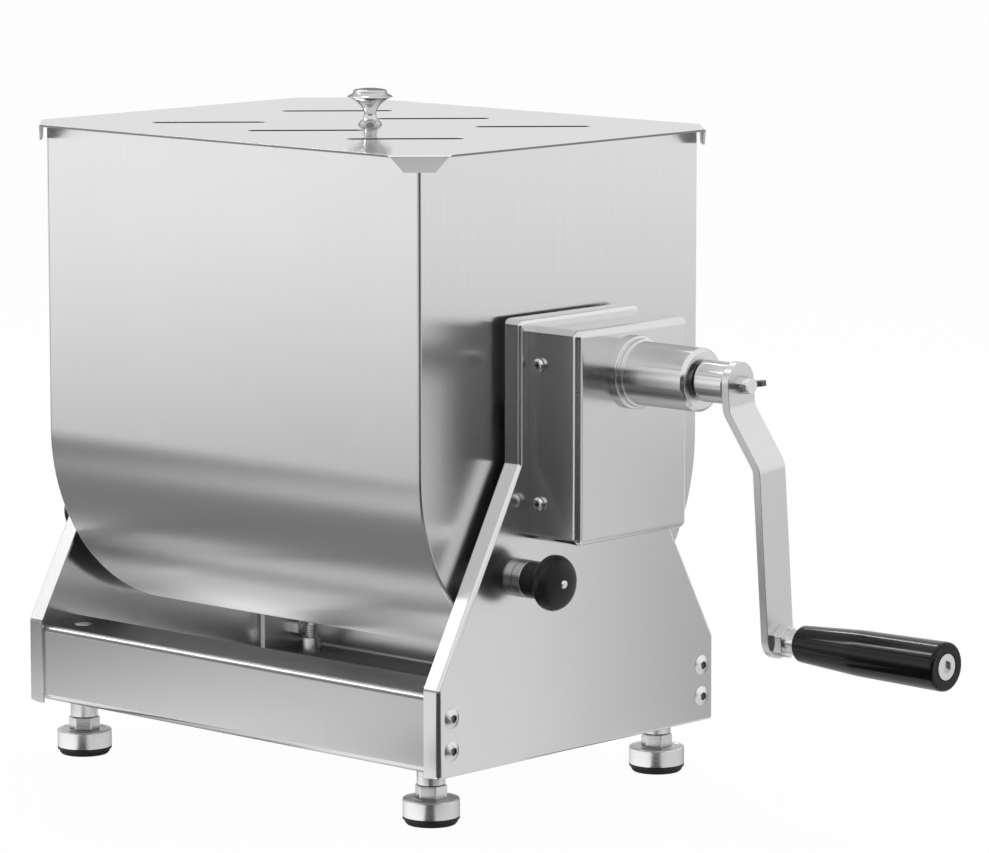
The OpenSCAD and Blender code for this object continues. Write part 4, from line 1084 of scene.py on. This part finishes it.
def card(name, centre, half_angle, near, far, ramp, axis="Z", hub=(0.0, 0.0)):
    """Curved card round a hub: centre is its azimuth, near and far are (radius, height) of its edges."""
    points = []
    faces = []
    for i in range(CARD_STEPS + 1):
        a = math.radians(centre + half_angle * (2.0 * i / CARD_STEPS - 1.0))
        for radius, z in (near, far):
            points.append((hub[0] + radius * math.sin(a), hub[1] - radius * math.cos(a), z))
    for i in range(CARD_STEPS):
        faces.append((2 * i, 2 * i + 2, 2 * i + 3, 2 * i + 1))
    mesh = bpy.data.meshes.new(name)
    mesh.from_pydata(points, [], faces)
    gloss_only(add_object(name, mesh), ramp, axis)


def mat(name, low, high, height, ramp, axis, turn=0.0):
    """Level card between two corners, turned about the middle of the floor."""
    mesh = bpy.data.meshes.new(name)
    mesh.from_pydata([(low[0], low[1], height), (high[0], low[1], height), (high[0], high[1], height),
                      (low[0], high[1], height)], [], [(0, 1, 2, 3)])
    obj = add_object(name, mesh)
    obj.rotation_euler = (0.0, 0.0, turn)
    gloss_only(obj, ramp, axis)


LAMP_AIM = (0.05, 0.0, 0.22)


def softbox(name, place, width, height, watts, in_gloss=True):
    """Area lamp that shines on the mixer."""
    data = bpy.data.lights.new(name, "AREA")
    data.shape = "RECTANGLE"
    data.size = width
    data.size_y = height
    data.energy = watts
    lamp = add_object(name, data)
    lamp.visible_glossy = in_gloss
    lamp.location = place
    lamp.rotation_euler = (Vector(place) - Vector(LAMP_AIM)).to_track_quat("Z", "Y").to_euler()


FRONT = math.degrees(AZIMUTH)
LEFT = -FRONT
RIGHT = 180.0 - FRONT
DARK_RADIUS = 2.2
TAB_RADIUS = 2.1
PANEL_RADIUS = 1.5
DARK_HALF = 40.0
PANEL_HALF = 36.0

# Upright cards on the camera's side: a dark one, and a small pale one for the front tab of the lid
card("dark_card", FRONT, DARK_HALF, (DARK_RADIUS, 0.02), (DARK_RADIUS, 0.75), flat(0.03))
card("tab_card", FRONT + 5.3, 3.2, (TAB_RADIUS, 0.09), (TAB_RADIUS, 0.3), flat(0.62))

# Level cards just over the floor, and one at the height of the front beam's top, that the steel mirrors as
# the floor; the front one is the mixer's painted shadow on the floor before it
card("dark_mat", FRONT, DARK_HALF, (0.3, 1.2 * MM), (2.1, 1.2 * MM), [(0.3, 0.06), (2.1, 0.04)], None)
# Painted shadow of the mixer on the floor in front, seen in gloss alone
mat("front_painted_shadow", (-0.8, -0.31), (0.5, -0.139), 96.0 * MM, [(-0.31, 0.36), (-0.24, 0.25), (-0.15, 0.22)], "Y")
mat("left_mat", (-1.3, -0.9), (0.12, -0.15), 0.6 * MM,
    [(-0.9, 0.12), (-0.6, 0.22), (-0.47, 0.42), (-0.28, 0.78), (-0.1, 0.95), (0.1, 1.05)], "X")
mat("right_mat", (-0.5, -2.6), (0.2, -0.1), 0.7 * MM,
    [(-0.24, 0.84), (-0.18, 0.81), (-0.143, 0.69), (-0.089, 0.59), (-0.055, 0.5)], "X", math.radians(138.2))

# Upright panels that the tank's front and right end mirror
card("left_panel", LEFT, PANEL_HALF, (PANEL_RADIUS, 0.02), (PANEL_RADIUS, 1.1),
     [(0.02, 0.8), (0.25, 1.3), (0.45, 1.3), (0.6, 0.95), (0.85, 0.95), (0.93, 1.3), (1.1, 1.3)])
card("left_gap", LEFT, PANEL_HALF, (PANEL_RADIUS, 1.12), (PANEL_RADIUS, 1.3), flat(0.15))
card("right_panel", RIGHT, PANEL_HALF, (PANEL_RADIUS, 0.05), (PANEL_RADIUS, 1.6),
     [(0.05, 0.76), (0.3, 1.06)])

# Cards on the floor round each foot: name, turn from the front, half angle, height in millimetres, tone
FOOT_CARDS = (("bright", -95.0, 82.0, 1.6, 1.25),
              ("pale", 95.0, 82.0, 1.6, 0.78),
              ("shade", -4.0, 16.0, 1.8, 0.1))
FOOT_NEAR = 0.02
FOOT_FAR = 0.13
for foot in FEET:
    hub = centre_of(foot + "_foot")[:2]
    for part, turn, half_angle, height, tone in FOOT_CARDS:
        card(foot + "_" + part, FRONT + turn, half_angle, (FOOT_NEAR, height * MM), (FOOT_FAR, height * MM),
             flat(tone), None, hub)

softbox("key", (-1.95, -1.35, 2.0), 0.4, 1.4, 22.0)
softbox("strip", (-1.6, 1.2, 2.0), 0.14, 1.4, 8.0)
softbox("top", (0.0, 0.7, 2.6), 2.4, 2.4, 45.0, in_gloss=False)

bpy.context.scene.view_settings.view_transform = "Standard"
